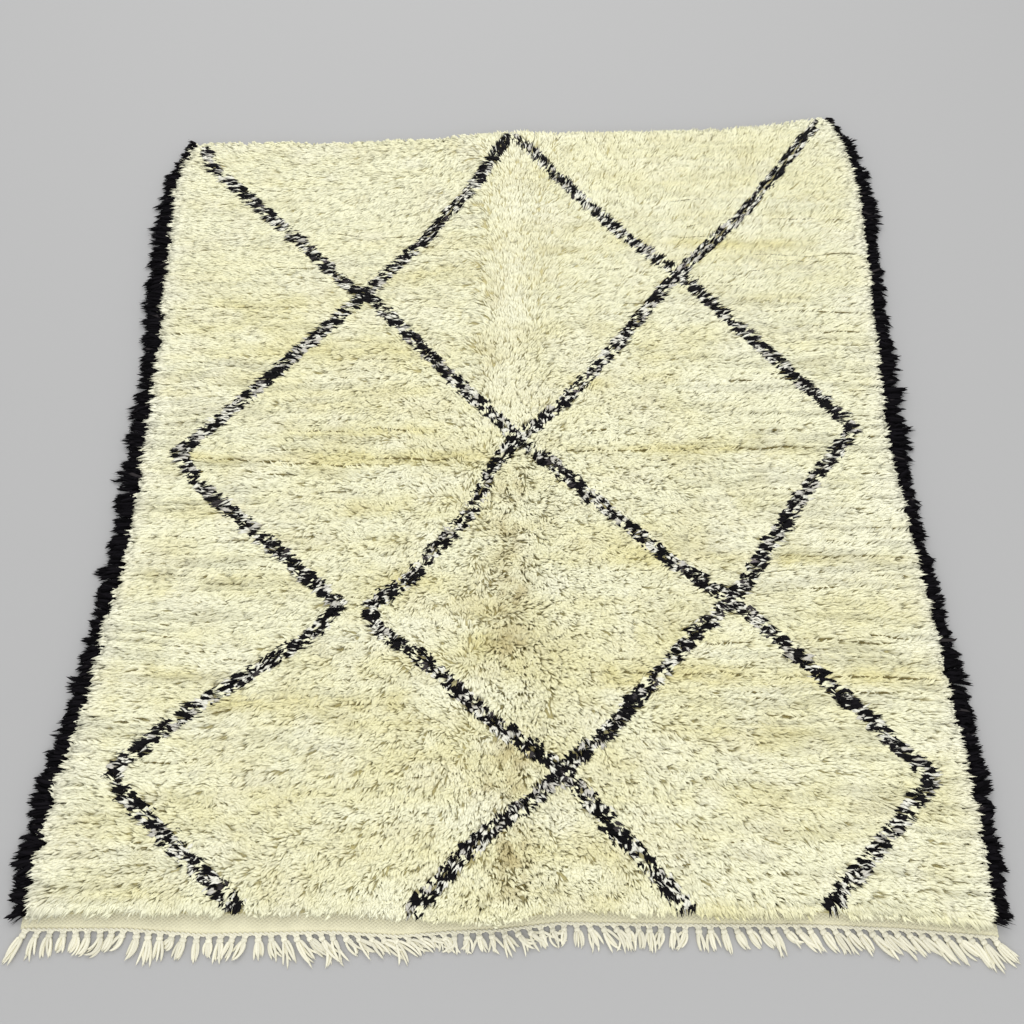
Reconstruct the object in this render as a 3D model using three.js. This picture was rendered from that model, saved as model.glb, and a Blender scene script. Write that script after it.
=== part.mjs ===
// A hand-knotted wool rug lying flat on the floor, in millimetres, +Z up.
//
// X runs across the rug and Y along it, from the fringed end to the plain end. Places on the rug are
// given as "across", from its middle line, and "along", from the row where the pile starts. The rug is
// a ground weave that carries a cream pile field, a shaggy black edging down each side, and a fringe
// of knotted warp ends along the near end. The side edges, both ends and the fringe wander as hand
// work does, so each follows a short table of stations, with straight runs between them.

import * as THREE from 'three';

// Clearance between one piece and the next.
const GAP = 0.3;

// An outline bends at a point only where it is this far off the line between its neighbours.
const STRAIGHT = 0.02;

// Thickness of each layer.
const WEAVE_THICKNESS = 4;
const PILE_HEIGHT = 19;
const FRINGE_THICKNESS = 6;

// The storage fold down the middle has left the pile standing up in a low ridge.
const RIDGE = { across: 4, halfWidth: 55, height: 8 };

// The pile is a little deeper in some places than in others.
const UNEVEN = { height: 1.6, acrossWave: 410, alongWave: 530 };

// How the pile rounds over at its rim: the share of its height at each distance in from the edge.
const SHOULDER = [
  { inset: 0, share: 0.55 },
  { inset: 5, share: 0.82 },
  { inset: 14, share: 0.95 },
  { inset: 30, share: 1 },
];

// The grid of the field's top: its rows and columns inside the shoulders, and the length and width that
// they are spaced for before the grid is fitted to the wandering edges.
const FIELD_COLUMNS = 22;
const FIELD_ROWS = 30;
const NOMINAL_LENGTH = 1650;
const NOMINAL_WIDTH = 1450;
const SETTLING_TURNS = 12;

// Where the cream field ends on each side, and how far out the tips of the black edging reach.
const LEFT_SIDE = [
  { along: -20, field: -747, tip: -780 },
  { along: 100, field: -744, tip: -783 },
  { along: 205, field: -734, tip: -776 },
  { along: 305, field: -715, tip: -753 },
  { along: 410, field: -705, tip: -743 },
  { along: 640, field: -690, tip: -730 },
  { along: 760, field: -690, tip: -738 },
  { along: 1030, field: -697, tip: -736 },
  { along: 1180, field: -712, tip: -755 },
  { along: 1340, field: -718, tip: -763 },
  { along: 1430, field: -727, tip: -767 },
  { along: 1510, field: -731, tip: -763 },
  { along: 1575, field: -722, tip: -750 },
  { along: 1610, field: -708, tip: -731 },
  { along: 1632, field: -690, tip: -708 },
];
const RIGHT_SIDE = [
  { along: -20, field: 738, tip: 766 },
  { along: 100, field: 745, tip: 775 },
  { along: 255, field: 742, tip: 777 },
  { along: 410, field: 735, tip: 770 },
  { along: 640, field: 725, tip: 753 },
  { along: 760, field: 717, tip: 749 },
  { along: 890, field: 715, tip: 759 },
  { along: 1180, field: 737, tip: 768 },
  { along: 1340, field: 748, tip: 778 },
  { along: 1450, field: 752, tip: 791 },
  { along: 1540, field: 751, tip: 783 },
  { along: 1630, field: 738, tip: 762 },
  { along: 1680, field: 722, tip: 742 },
  { along: 1714, field: 700, tip: 716 },
];

// The near end: where the pile starts and where the flat-woven band below it stops.
const NEAR_END = [
  { across: -780, pile: -4, band: -20 },
  { across: -600, pile: 1, band: -20 },
  { across: -480, pile: -1, band: -28 },
  { across: -280, pile: 1, band: -24 },
  { across: -175, pile: -2, band: -30 },
  { across: -95, pile: -13, band: -24 },
  { across: -20, pile: -13, band: -21 },
  { across: 75, pile: 4, band: -11 },
  { across: 300, pile: 3, band: -14 },
  { across: 450, pile: 3, band: -14 },
  { across: 600, pile: -7, band: -20 },
  { across: 780, pile: -16, band: -34 },
];

// The far end, where the ground weave stops in a plain woven rim.
const FAR_RIM = 6;
const FAR_END = [
  { across: -713, along: 1630 },
  { across: -600, along: 1633 },
  { across: -400, along: 1631 },
  { across: -250, along: 1643 },
  { across: -140, along: 1652 },
  { across: -50, along: 1657 },
  { across: 60, along: 1663 },
  { across: 310, along: 1664 },
  { across: 520, along: 1676 },
  { across: 660, along: 1699 },
  { across: 716, along: 1714 },
];

// The black edging: its section as shares of the reach outwards from the cream field, with heights.
const EDGING_SECTION = [
  { share: 0.08, height: 20 },
  { share: 0.42, height: 20 },
  { share: 0.75, height: 15 },
  { share: 1, height: 5 },
  { share: 0.94, height: 0 },
];
const EDGING_STEPS_PER_ROW = 2;

// The edging's inner wall stands up beside the field to this share of the pile's height, and the ground
// weave reaches out under the edging to this share of its reach.
const WALL_SHARE = 0.5;
const WEAVE_SHARE = 0.4;

// The edging's tips wander in and out from station to station by a slow and a quick wave.
const RAG = { reach: 5, mostOut: 2.5, slow: 2.4, quick: 5.3, quickShare: 0.6, quickStart: 1 };

// The fringe: knotted warp ends. Lean is in degrees from straight out, positive towards +X, and hook is
// the further turn that a tassel makes between its knot and its tip.
const TASSEL_PITCH = 18.8;
const HEADER_DEPTH = 4;
const FRINGE = [
  { across: -745, lean: -38, length: 50, hook: -8 },
  { across: -700, lean: 8, length: 38, hook: -50 },
  { across: -600, lean: 4, length: 36, hook: -55 },
  { across: -480, lean: 6, length: 41, hook: -60 },
  { across: -410, lean: -10, length: 42, hook: -5 },
  { across: -330, lean: 2, length: 30, hook: -10 },
  { across: -250, lean: 22, length: 38, hook: 12 },
  { across: -180, lean: 34, length: 48, hook: 4 },
  { across: -110, lean: 48, length: 36, hook: -6 },
  { across: -50, lean: 46, length: 32, hook: -45 },
  { across: 10, lean: 14, length: 34, hook: -6 },
  { across: 90, lean: 10, length: 36, hook: 16 },
  { across: 180, lean: 18, length: 36, hook: -8 },
  { across: 260, lean: -6, length: 33, hook: -6 },
  { across: 350, lean: 4, length: 38, hook: 4 },
  { across: 430, lean: 24, length: 40, hook: 8 },
  { across: 560, lean: 30, length: 46, hook: 12 },
  { across: 735, lean: 34, length: 52, hook: 14 },
];
const TASSEL_OUTLINE = [
  { run: 0, halfWidth: 3 },
  { run: 0.2, halfWidth: 4.5 },
  { run: 0.62, halfWidth: 6 },
  { run: 1, halfWidth: 2 },
];

const CREAM_WOOL = new THREE.MeshStandardMaterial({ color: 0xe8e0ba, roughness: 0.95, metalness: 0 });
const GROUND_WOOL = new THREE.MeshStandardMaterial({ color: 0xd3c49b, roughness: 0.95, metalness: 0 });
const BLACK_WOOL = new THREE.MeshStandardMaterial({ color: 0x151215, roughness: 0.9, metalness: 0 });
const WARP_YARN = new THREE.MeshStandardMaterial({ color: 0xe4dac0, roughness: 0.9, metalness: 0 });

const rug = new THREE.Group();

function addPiece(name, geometry, material) {
  const piece = new THREE.Mesh(geometry, material);
  piece.name = name;
  rug.add(piece);
}

// The value of one column of a table where its first column has the given value.
function lookUp(table, key, value, column) {
  const last = table.length - 1;
  if (value <= table[0][key]) return table[0][column];
  if (value >= table[last][key]) return table[last][column];
  const next = table.findIndex((row) => row[key] > value);
  const before = table[next - 1];
  const after = table[next];
  const share = (value - before[key]) / (after[key] - before[key]);
  return THREE.MathUtils.lerp(before[column], after[column], share);
}

const pileStart = (across) => lookUp(NEAR_END, 'across', across, 'pile');
const bandEnd = (across) => lookUp(NEAR_END, 'across', across, 'band');
const weaveEnd = (across) => lookUp(FAR_END, 'across', across, 'along');

// The x of the ground weave's edge, a little way out under the black edging.
function weaveEdge(side, along) {
  const field = lookUp(side, 'along', along, 'field');
  const tip = lookUp(side, 'along', along, 'tip');
  return THREE.MathUtils.lerp(field, tip, WEAVE_SHARE);
}

// Distances in from both edges of a run: the shoulder's steps at each end and equal steps between.
function shoulderedSteps(length, count) {
  const rim = SHOULDER.map((step) => step.inset);
  const inner = rim.at(-1);
  const steps = [...rim];
  for (let i = 1; i < count; i += 1) steps.push(inner + ((length - 2 * inner) * i) / count);
  for (const inset of rim.toReversed()) steps.push(length - inset);
  return steps;
}

// How high the pile stands: its shoulder, the ridge down the middle and its unevenness.
function pileTop(across, along, inset) {
  const share = lookUp(SHOULDER, 'inset', inset, 'share');
  const off = (across - RIDGE.across) / RIDGE.halfWidth;
  const ridge = RIDGE.height * Math.exp(-off * off);
  const acrossTurn = across / UNEVEN.acrossWave * 2 * Math.PI;
  const alongTurn = along / UNEVEN.alongWave * 2 * Math.PI;
  const wave = Math.sin(acrossTurn) * Math.cos(alongTurn);
  return WEAVE_THICKNESS + GAP + share * (PILE_HEIGHT + ridge + UNEVEN.height * wave);
}

// The grid of points on the pile field's top, row by row from the near end, left to right.
function fieldGrid() {
  const alongSteps = shoulderedSteps(NOMINAL_LENGTH, FIELD_ROWS);
  const acrossSteps = shoulderedSteps(NOMINAL_WIDTH, FIELD_COLUMNS);
  return alongSteps.map((step) => {
    const alongShare = step / NOMINAL_LENGTH;
    const rowEnds = [LEFT_SIDE, RIGHT_SIDE].map((side) => fieldCorner(side, alongShare));
    return acrossSteps.map((across) => {
      const share = across / NOMINAL_WIDTH;
      const x = THREE.MathUtils.lerp(rowEnds[0].x, rowEnds[1].x, share);
      const y = THREE.MathUtils.lerp(pileStart(x), weaveEnd(x) - FAR_RIM, alongShare);
      const inset = Math.min(step, NOMINAL_LENGTH - step, across, NOMINAL_WIDTH - across);
      return new THREE.Vector3(x, y, pileTop(x, y, inset));
    });
  });
}

// Where a row of the grid meets a side edge. The row's place along depends on the edge's place across
// and the other way round, so the two are worked out in turn until they agree.
function fieldCorner(side, alongShare) {
  let x = side[0].field;
  let y = 0;
  for (let turn = 0; turn < SETTLING_TURNS; turn += 1) {
    y = THREE.MathUtils.lerp(pileStart(x), weaveEnd(x) - FAR_RIM, alongShare);
    x = lookUp(side, 'along', y, 'field');
  }
  return { x, y };
}

// A body over a grid of top points, with upright sides down to a flat underside.
function heightBody(grid, bottom) {
  const rows = grid.length;
  const columns = grid[0].length;
  const vertices = grid.flat().map((point) => point.clone());
  const index = [];
  for (let j = 0; j < rows - 1; j += 1) {
    for (let i = 0; i < columns - 1; i += 1) {
      const a = j * columns + i;
      index.push(a, a + 1, a + columns + 1, a, a + columns + 1, a + columns);
    }
  }
  const rim = [];
  for (let i = 0; i < columns - 1; i += 1) rim.push(i);
  for (let j = 0; j < rows - 1; j += 1) rim.push(j * columns + columns - 1);
  for (let i = columns - 1; i > 0; i -= 1) rim.push((rows - 1) * columns + i);
  for (let j = rows - 1; j > 0; j -= 1) rim.push(j * columns);
  const base = vertices.length;
  for (const top of rim) vertices.push(new THREE.Vector3(vertices[top].x, vertices[top].y, bottom));
  rim.forEach((top, k) => {
    const next = (k + 1) % rim.length;
    index.push(top, base + k, base + next, top, base + next, rim[next]);
  });
  const outline = rim.map((top) => new THREE.Vector2(vertices[top].x, vertices[top].y));
  for (const [a, b, c] of THREE.ShapeUtils.triangulateShape(outline, [])) {
    index.push(base + a, base + c, base + b);
  }
  return meshOf(vertices, index);
}

function meshOf(vertices, index) {
  const geometry = new THREE.BufferGeometry().setFromPoints(vertices);
  geometry.setIndex(index);
  geometry.computeVertexNormals();
  return geometry;
}

// The ground weave: one flat cloth from the band's lower edge to the far rim. Its sides turn at the
// same stations as the edging that wraps them, so the two stay a gap apart all the way.
function groundWeave(leftStations, rightStations) {
  const edgePoint = (side) => (place) => new THREE.Vector2(weaveEdge(side, place.y), place.y);
  const farAlong = (side) => side.at(-1).along;
  const outline = [
    ...endPoints(NEAR_END, weaveEdge(LEFT_SIDE, 0), weaveEdge(RIGHT_SIDE, 0), bandEnd),
    ...rightStations.map(edgePoint(RIGHT_SIDE)),
    ...endPoints(
      FAR_END,
      weaveEdge(LEFT_SIDE, farAlong(LEFT_SIDE)),
      weaveEdge(RIGHT_SIDE, farAlong(RIGHT_SIDE)),
      weaveEnd,
    ).reverse(),
    ...leftStations.map(edgePoint(LEFT_SIDE)).reverse(),
  ];
  return slab(outline, WEAVE_THICKNESS);
}

// A flat slab on the floor. Points on a straight run add nothing to its outline, so they are dropped.
function slab(outline, thickness) {
  const corners = outline.filter((point, n) => {
    const before = outline.at(n - 1);
    const after = outline[(n + 1) % outline.length];
    const bulge = new THREE.Line3(toSpace(before), toSpace(after))
      .closestPointToPoint(toSpace(point), true, new THREE.Vector3())
      .distanceTo(toSpace(point));
    return bulge > STRAIGHT;
  });
  return new THREE.ExtrudeGeometry(new THREE.Shape(corners), { depth: thickness, bevelEnabled: false });
}

const toSpace = (point) => new THREE.Vector3(point.x, point.y, 0);

// Points along one end from its left corner to its right one, with a table's stations between them.
function endPoints(table, left, right, alongAt) {
  const inner = table.map(({ across }) => across).filter((x) => x > left && x < right);
  return [left, ...inner, right].map((x) => new THREE.Vector2(x, alongAt(x)));
}

// Places along a side edge of the cream field: each row of its grid and equal steps between rows.
function edgeStations(fieldEdge) {
  const stations = [];
  for (let j = 0; j < fieldEdge.length - 1; j += 1) {
    for (let k = 0; k < EDGING_STEPS_PER_ROW; k += 1) {
      const share = k / EDGING_STEPS_PER_ROW;
      stations.push(new THREE.Vector3().lerpVectors(fieldEdge[j], fieldEdge[j + 1], share));
    }
  }
  return [...stations, fieldEdge.at(-1)];
}

// The black edging down one side: its section is carried from station to station, with its inner wall
// a gap away from the cream field and an outer lip that falls past the weave to the floor.
function edging(side, stations) {
  const outward = Math.sign(side[0].tip);
  const sections = stations.map((place, n) => edgingSection(side, outward, place, n));
  return loft(sections, outward < 0);
}

function edgingSection(side, outward, place, n) {
  const wander = Math.sin(n * RAG.slow) + RAG.quickShare * Math.sin(n * RAG.quick + RAG.quickStart);
  const ragged = (RAG.reach * wander) / (1 + RAG.quickShare);
  const inner = place.x + outward * GAP;
  const tip = lookUp(side, 'along', place.y, 'tip') + outward * Math.min(ragged, RAG.mostOut);
  const weave = weaveEdge(side, place.y) + outward * 2 * GAP;
  const under = WEAVE_THICKNESS + GAP;
  const points = [new THREE.Vector3(inner, place.y, under)];
  points.push(new THREE.Vector3(inner, place.y, under + WALL_SHARE * PILE_HEIGHT));
  for (const { share, height } of EDGING_SECTION) {
    points.push(new THREE.Vector3(THREE.MathUtils.lerp(inner, tip, share), place.y, height));
  }
  points.push(new THREE.Vector3(weave, place.y, 0));
  points.push(new THREE.Vector3(weave, place.y, under));
  return points;
}

// A closed body through a row of sections with equal numbers of points, capped at both ends.
function loft(sections, reversed) {
  const count = sections[0].length;
  const vertices = sections.flat();
  const index = [];
  const face = (a, b, c) => (reversed ? index.push(a, c, b) : index.push(a, b, c));
  for (let j = 0; j < sections.length - 1; j += 1) {
    for (let i = 0; i < count; i += 1) {
      const a = j * count + i;
      const b = j * count + ((i + 1) % count);
      face(a, b, b + count);
      face(a, b + count, a + count);
    }
  }
  const last = (sections.length - 1) * count;
  const cap = (section) => section.map((point) => new THREE.Vector2(point.x, point.z));
  for (const [a, b, c] of capFaces(cap(sections[0]))) face(a, c, b);
  for (const [a, b, c] of capFaces(cap(sections.at(-1)))) face(last + a, last + b, last + c);
  return meshOf(vertices, index);
}

// The triangles of a flat section, each turned the same way round as the section's points.
function capFaces(points) {
  const turn = Math.sign(THREE.ShapeUtils.area(points));
  return THREE.ShapeUtils.triangulateShape(points, []).map(([a, b, c]) => {
    const same = Math.sign(THREE.ShapeUtils.area([points[a], points[b], points[c]])) === turn;
    return same ? [a, b, c] : [a, c, b];
  });
}

// One tassel of the comb, from the left of its knot round its tip to the right of its knot.
function tasselOutline(root) {
  const column = (name) => lookUp(FRINGE, 'across', root.x, name);
  const lean = THREE.MathUtils.degToRad(column('lean'));
  const hook = THREE.MathUtils.degToRad(column('hook'));
  const length = column('length');
  const middle = root.clone();
  let run = 0;
  const left = [];
  const right = [];
  for (const step of TASSEL_OUTLINE) {
    const turn = lean + hook * step.run;
    middle.x += (step.run - run) * length * Math.sin(turn);
    middle.y -= (step.run - run) * length * Math.cos(turn);
    run = step.run;
    const side = new THREE.Vector2(Math.cos(turn), Math.sin(turn)).multiplyScalar(step.halfWidth);
    left.push(middle.clone().sub(side));
    right.unshift(middle.clone().add(side));
  }
  return [...left, ...right];
}

// The fringe: a narrow header along the band with the tassels hanging from it, as one flat comb.
function fringe() {
  const left = weaveEdge(LEFT_SIDE, 0);
  const right = weaveEdge(RIGHT_SIDE, 0);
  const top = endPoints(NEAR_END, left, right, (x) => bandEnd(x) - GAP);
  const width = right - left;
  const count = Math.floor(width / TASSEL_PITCH);
  const outline = [];
  for (let n = 0; n < count; n += 1) {
    const x = left + ((n + 0.5) * width) / count;
    outline.push(...tasselOutline(new THREE.Vector2(x, bandEnd(x) - GAP - HEADER_DEPTH)));
  }
  return slab([...outline, ...top.reverse()], FRINGE_THICKNESS);
}

const field = fieldGrid();
const leftStations = edgeStations(field.map((row) => row[0]));
const rightStations = edgeStations(field.map((row) => row.at(-1)));
addPiece('ground_weave', groundWeave(leftStations, rightStations), GROUND_WOOL);
addPiece('pile_field', heightBody(field, WEAVE_THICKNESS + GAP), CREAM_WOOL);
addPiece('edging_left', edging(LEFT_SIDE, leftStations), BLACK_WOOL);
addPiece('edging_right', edging(RIGHT_SIDE, rightStations), BLACK_WOOL);
addPiece('fringe', fringe(), WARP_YARN);

// The origin is the middle of the rug's footprint, on the floor.
const footprint = new THREE.Box3().setFromObject(rug).getCenter(new THREE.Vector3());
rug.position.set(-footprint.x, -footprint.y, 0);

export default rug;
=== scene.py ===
# %% [markdown]
# # A thick hand-knotted wool rug
#
# This lesson dresses the plain solids of a rug with its real surface: tens of thousands of cut wool
# tufts, a shaggy black edging, a flat-woven ground and a knotted fringe. The solids come from the
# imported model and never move. Everything here is worked out from their outline, with whole arrays.

# %% Load the fixed frame
import math

import bpy
import numpy as np
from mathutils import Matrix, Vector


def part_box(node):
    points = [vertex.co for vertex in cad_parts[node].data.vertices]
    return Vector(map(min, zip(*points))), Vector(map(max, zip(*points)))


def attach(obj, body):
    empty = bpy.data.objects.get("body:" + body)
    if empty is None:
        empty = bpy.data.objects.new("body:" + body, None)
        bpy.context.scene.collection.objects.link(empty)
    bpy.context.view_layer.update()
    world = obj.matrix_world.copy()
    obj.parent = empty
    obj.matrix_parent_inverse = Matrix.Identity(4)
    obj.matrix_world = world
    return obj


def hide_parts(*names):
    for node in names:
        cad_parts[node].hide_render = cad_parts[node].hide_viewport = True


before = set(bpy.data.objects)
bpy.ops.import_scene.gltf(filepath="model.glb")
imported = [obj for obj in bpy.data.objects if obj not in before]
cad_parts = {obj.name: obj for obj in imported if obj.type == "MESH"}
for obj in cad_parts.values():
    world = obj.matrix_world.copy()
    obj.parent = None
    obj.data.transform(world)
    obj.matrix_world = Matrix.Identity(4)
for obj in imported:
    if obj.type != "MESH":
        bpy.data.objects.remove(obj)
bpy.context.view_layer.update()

# %% [markdown]
# ## Reading the outline
#
# A hand-made rug is never a true rectangle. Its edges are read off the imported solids, so the wool grows
# exactly where the solids are. A solid is cut by a row of lines, and the outermost place at which each
# line crosses the solid's own edges is kept.

# %% Outline helpers
ACROSS, ALONG = 0, 1
OUTLINE_CUTS = 160
NOWHERE = 9.0
# Nothing is divided by less than these.
TINY, LEAST_LENGTH = 1e-9, 1e-6
CORNER_TRIM = 0.012


def outline(node, axis, side, span):
    """Where a solid ends. Cuts are spread over a span of one axis; for each cut, every edge of the solid
    that straddles it is crossed by sliding between its two ends, and the greatest (side 1) or least
    (side -1) crossing is kept."""
    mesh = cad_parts[node].data
    points = np.empty(3 * len(mesh.vertices), np.float32)
    mesh.vertices.foreach_get("co", points)
    points = points.reshape(-1, 3).astype(float)
    ends = np.empty(2 * len(mesh.edges), np.int32)
    mesh.edges.foreach_get("vertices", ends)
    first, second = points[ends[::2]], points[ends[1::2]]
    where = np.linspace(*span, OUTLINE_CUTS)
    run = second[:, axis] - first[:, axis]
    run = np.where(np.abs(run) < TINY, TINY, run)
    share = (where[:, None] - first[None, :, axis]) / run
    crossing = first[:, 1 - axis] + share * (second[:, 1 - axis] - first[:, 1 - axis])
    crossing = np.where((share >= 0) & (share <= 1), crossing * side, -NOWHERE)
    return where, side * crossing.max(axis=1)


def at(line, where):
    """A line's value at any place, with straight runs between its stations."""
    return np.interp(where, line[0], line[1])


def side_span(node):
    """The run of an edging, less a little at each end, where its outline turns the corner."""
    low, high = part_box(node)
    return low.y + CORNER_TRIM, high.y - CORNER_TRIM


def end_spans(left, right):
    """The spans of the near and far ends, from one side line to the other."""
    return (left[1][0], right[1][0]), (left[1][-1], right[1][-1])


LEFT_SPAN, RIGHT_SPAN = side_span("edging_left"), side_span("edging_right")
FIELD_LEFT = outline("edging_left", ALONG, 1, LEFT_SPAN)
FIELD_RIGHT = outline("edging_right", ALONG, -1, RIGHT_SPAN)
TIPS_LEFT = outline("edging_left", ALONG, -1, LEFT_SPAN)
TIPS_RIGHT = outline("edging_right", ALONG, 1, RIGHT_SPAN)
CLOTH_LEFT = outline("ground_weave", ALONG, -1, LEFT_SPAN)
CLOTH_RIGHT = outline("ground_weave", ALONG, 1, RIGHT_SPAN)
NEAR_SPAN, FAR_SPAN = end_spans(FIELD_LEFT, FIELD_RIGHT)
FIELD_START = outline("pile_field", ACROSS, -1, NEAR_SPAN)
FIELD_END = outline("pile_field", ACROSS, 1, FAR_SPAN)
NEAR_SPAN, FAR_SPAN = end_spans(CLOTH_LEFT, CLOTH_RIGHT)
CLOTH_START = outline("ground_weave", ACROSS, -1, NEAR_SPAN)
CLOTH_END = outline("ground_weave", ACROSS, 1, FAR_SPAN)
print("field from", FIELD_LEFT[1].min().round(3), "to", FIELD_RIGHT[1].max().round(3), "metres across")

# %% [markdown]
# ## From knots to places
#
# A weaver ties knots in rows, so a knot is best named by its share of the way across and along. The two
# shares are turned into a place by sliding between the edges. Where an edge lies depends on the place
# that is being worked out, so the sum is done a few times over until it settles.

# %% Shares to places
FIELD = (FIELD_LEFT, FIELD_RIGHT, FIELD_START, FIELD_END)
CLOTH = (CLOTH_LEFT, CLOTH_RIGHT, CLOTH_START, CLOTH_END)
SETTLING_TURNS = 8
NOISE_CELLS = 64
NOISE_SHIFT = (31.7, 17.3)
FAR_THIRD = (0.95, 1.25)


def place(u, v, edges):
    """Point at share u between the side edges and share v between the two ends."""
    left, right, start, end = edges
    x = (u - 0.5) * (right[1].mean() - left[1].mean())
    y = v * 0
    for _ in range(SETTLING_TURNS):
        y = at(start, x) * (1 - v) + at(end, x) * v
        x = at(left, y) * (1 - u) + at(right, y) * u
    return x, y


def smooth_noise(x, y, size_x, size_y, seed):
    """Soft random hills from 0 to 1: random heights on a grid, blended with an eased step."""
    heights = np.random.default_rng(seed).random((NOISE_CELLS, NOISE_CELLS))
    gx, gy = x / size_x + NOISE_SHIFT[0], y / size_y + NOISE_SHIFT[1]
    ix, iy = np.floor(gx).astype(int), np.floor(gy).astype(int)
    fx, fy = gx - ix, gy - iy
    fx, fy = fx * fx * (3 - 2 * fx), fy * fy * (3 - 2 * fy)
    ix, iy = ix % NOISE_CELLS, iy % NOISE_CELLS
    next_x, next_y = (ix + 1) % NOISE_CELLS, (iy + 1) % NOISE_CELLS
    low = heights[ix, iy] * (1 - fx) + heights[next_x, iy] * fx
    high = heights[ix, next_y] * (1 - fx) + heights[next_x, next_y] * fx
    return low * (1 - fy) + high * fy


def line_noise(run, size, seed, lane=0.0):
    """Soft random hills along one line. Lines in lanes of their own are unlike each other."""
    return smooth_noise(run, 0 * run + lane, size, 1.0, seed)


def ease(value, low, high):
    """0 below low, 1 above high, and an eased step between them."""
    share = np.clip((value - low) / (high - low), 0, 1)
    return share * share * (3 - 2 * share)


def bell(offset, width):
    """1 at no offset, falling away on both sides."""
    return np.exp(-((offset / width) ** 2))


def far_third(along):
    """0 over most of the rug and 1 in its far third, where the wool is calm and fluffed up."""
    return ease(along, *FAR_THIRD)


# %% [markdown]
# ## The lattice
#
# The dark lines are knotted in as the weaver goes, freehand, so they wander, and two of them turn back a
# hand's breadth apart without meeting. Each line is a chain of places, given as metres across from the
# middle of the near edge, then metres along from it.

# %% Lattice lines
# The middle of the near edge, from the left side and from the far end of the ground cloth's box.
FROM_LEFT, FROM_END = 0.7601, 1.7114
ORIGIN = np.array([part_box("ground_weave")[0].x + FROM_LEFT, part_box("ground_weave")[1].y - FROM_END])

TOP_LEFT, TOP_MIDDLE, TOP_RIGHT = (-0.690, 1.617), (-0.005, 1.645), (0.700, 1.692)
UPPER_LEFT, UPPER_RIGHT = (-0.302, 1.199), (0.346, 1.252)
WEST, CENTRE, EAST = (-0.634, 0.819), (0.012, 0.850), (0.658, 0.875)
TURN_OUTER, TURN_INNER, LOWER_RIGHT = (-0.302, 0.510), (-0.252, 0.505), (0.392, 0.518)
SOUTH_WEST, SOUTH, SOUTH_EAST = (-0.656, 0.218), (0.083, 0.221), (0.688, 0.208)

LATTICE = [
    [TOP_LEFT, (-0.674, 1.560), (-0.515, 1.400), (-0.335, 1.215), UPPER_LEFT, (-0.165, 1.045)],
    [(-0.165, 1.045), (-0.085, 0.952), CENTRE],
    [CENTRE, (0.108, 0.763), (0.290, 0.592), LOWER_RIGHT, (0.504, 0.406), (0.619, 0.282), SOUTH_EAST],
    [SOUTH_EAST, (0.486, 0.004)],
    [TOP_MIDDLE, (-0.092, 1.480), (-0.197, 1.324), UPPER_LEFT, (-0.352, 1.138), (-0.530, 0.930), WEST],
    [WEST, (-0.585, 0.752), (-0.507, 0.686), TURN_OUTER, (-0.352, 0.451), (-0.480, 0.362)],
    [(-0.480, 0.362), (-0.558, 0.308), SOUTH_WEST, (-0.613, 0.167), (-0.540, 0.105), (-0.418, 0.004)],
    [TOP_MIDDLE, (0.052, 1.588), (0.112, 1.508), (0.232, 1.360), UPPER_RIGHT, (0.520, 1.040), EAST],
    [EAST, (0.532, 0.718), LOWER_RIGHT, (0.326, 0.464), (0.157, 0.283), SOUTH],
    [SOUTH, (0.042, 0.179), (-0.040, 0.122), (-0.154, 0.004)],
    [TOP_RIGHT, (0.503, 1.420), UPPER_RIGHT, (0.191, 1.044), (0.094, 0.924), CENTRE],
    [CENTRE, (-0.038, 0.782), (-0.074, 0.698), (-0.181, 0.559), TURN_INNER],
    [TURN_INNER, (-0.232, 0.463), (-0.160, 0.418), (-0.027, 0.295), SOUTH, (0.200, 0.090), (0.274, 0.004)],
]


def line_distance(x, y):
    """How far each point is from the nearest of the lines' straight runs."""
    nearest = np.full(len(x), NOWHERE)
    for line in LATTICE:
        corners = np.array(line) + ORIGIN
        for start, stop in zip(corners[:-1], corners[1:]):
            step = stop - start
            off_x, off_y = x - start[0], y - start[1]
            share = np.clip((off_x * step[0] + off_y * step[1]) / math.hypot(*step) ** 2, 0, 1)
            nearest = np.minimum(nearest, np.hypot(off_x - share * step[0], off_y - share * step[1]))
    return nearest


# %% [markdown]
# ## Streaks and partings
#
# The wool was dyed and spun in small batches, so rows change tone as they go. Here and there a row also
# parts from its neighbour, and a thin dark line of painted shade, laid in as the wool lower down, shows in
# the parting. The clearest streaks, spots and partings are listed.

# %% Lists of streaks, spots and partings
# along, from across, to across, half depth, yellowness (all but the last in metres)
STREAKS = [
    (0.808, -0.64, -0.05, 0.011, 1.00),
    (0.867, -0.44, -0.17, 0.006, 0.50),
    (1.331, 0.20, 0.63, 0.012, 0.60),
    (1.318, -0.18, 0.25, 0.010, 0.45),
    (1.252, -0.27, -0.07, 0.020, 0.50),
    (1.180, -0.62, -0.30, 0.030, 0.35),
    (1.080, -0.50, -0.20, 0.030, 0.35),
    (1.190, 0.47, 0.61, 0.010, 0.50),
    (1.046, 0.25, 0.40, 0.018, 0.40),
    (0.828, 0.10, 0.58, 0.007, 0.55),
    (0.950, -0.72, -0.60, 0.008, 0.60),
    (0.566, -0.71, -0.36, 0.008, 0.50),
    (0.602, 0.46, 0.75, 0.007, 0.55),
    (0.620, 0.21, 0.36, 0.055, 0.50),
    (0.385, -0.73, -0.50, 0.010, 0.45),
    (0.380, 0.14, 0.74, 0.018, 0.75),
    (0.335, -0.52, -0.17, 0.022, 0.70),
    (0.290, 0.24, 0.50, 0.010, 0.45),
]

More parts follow.
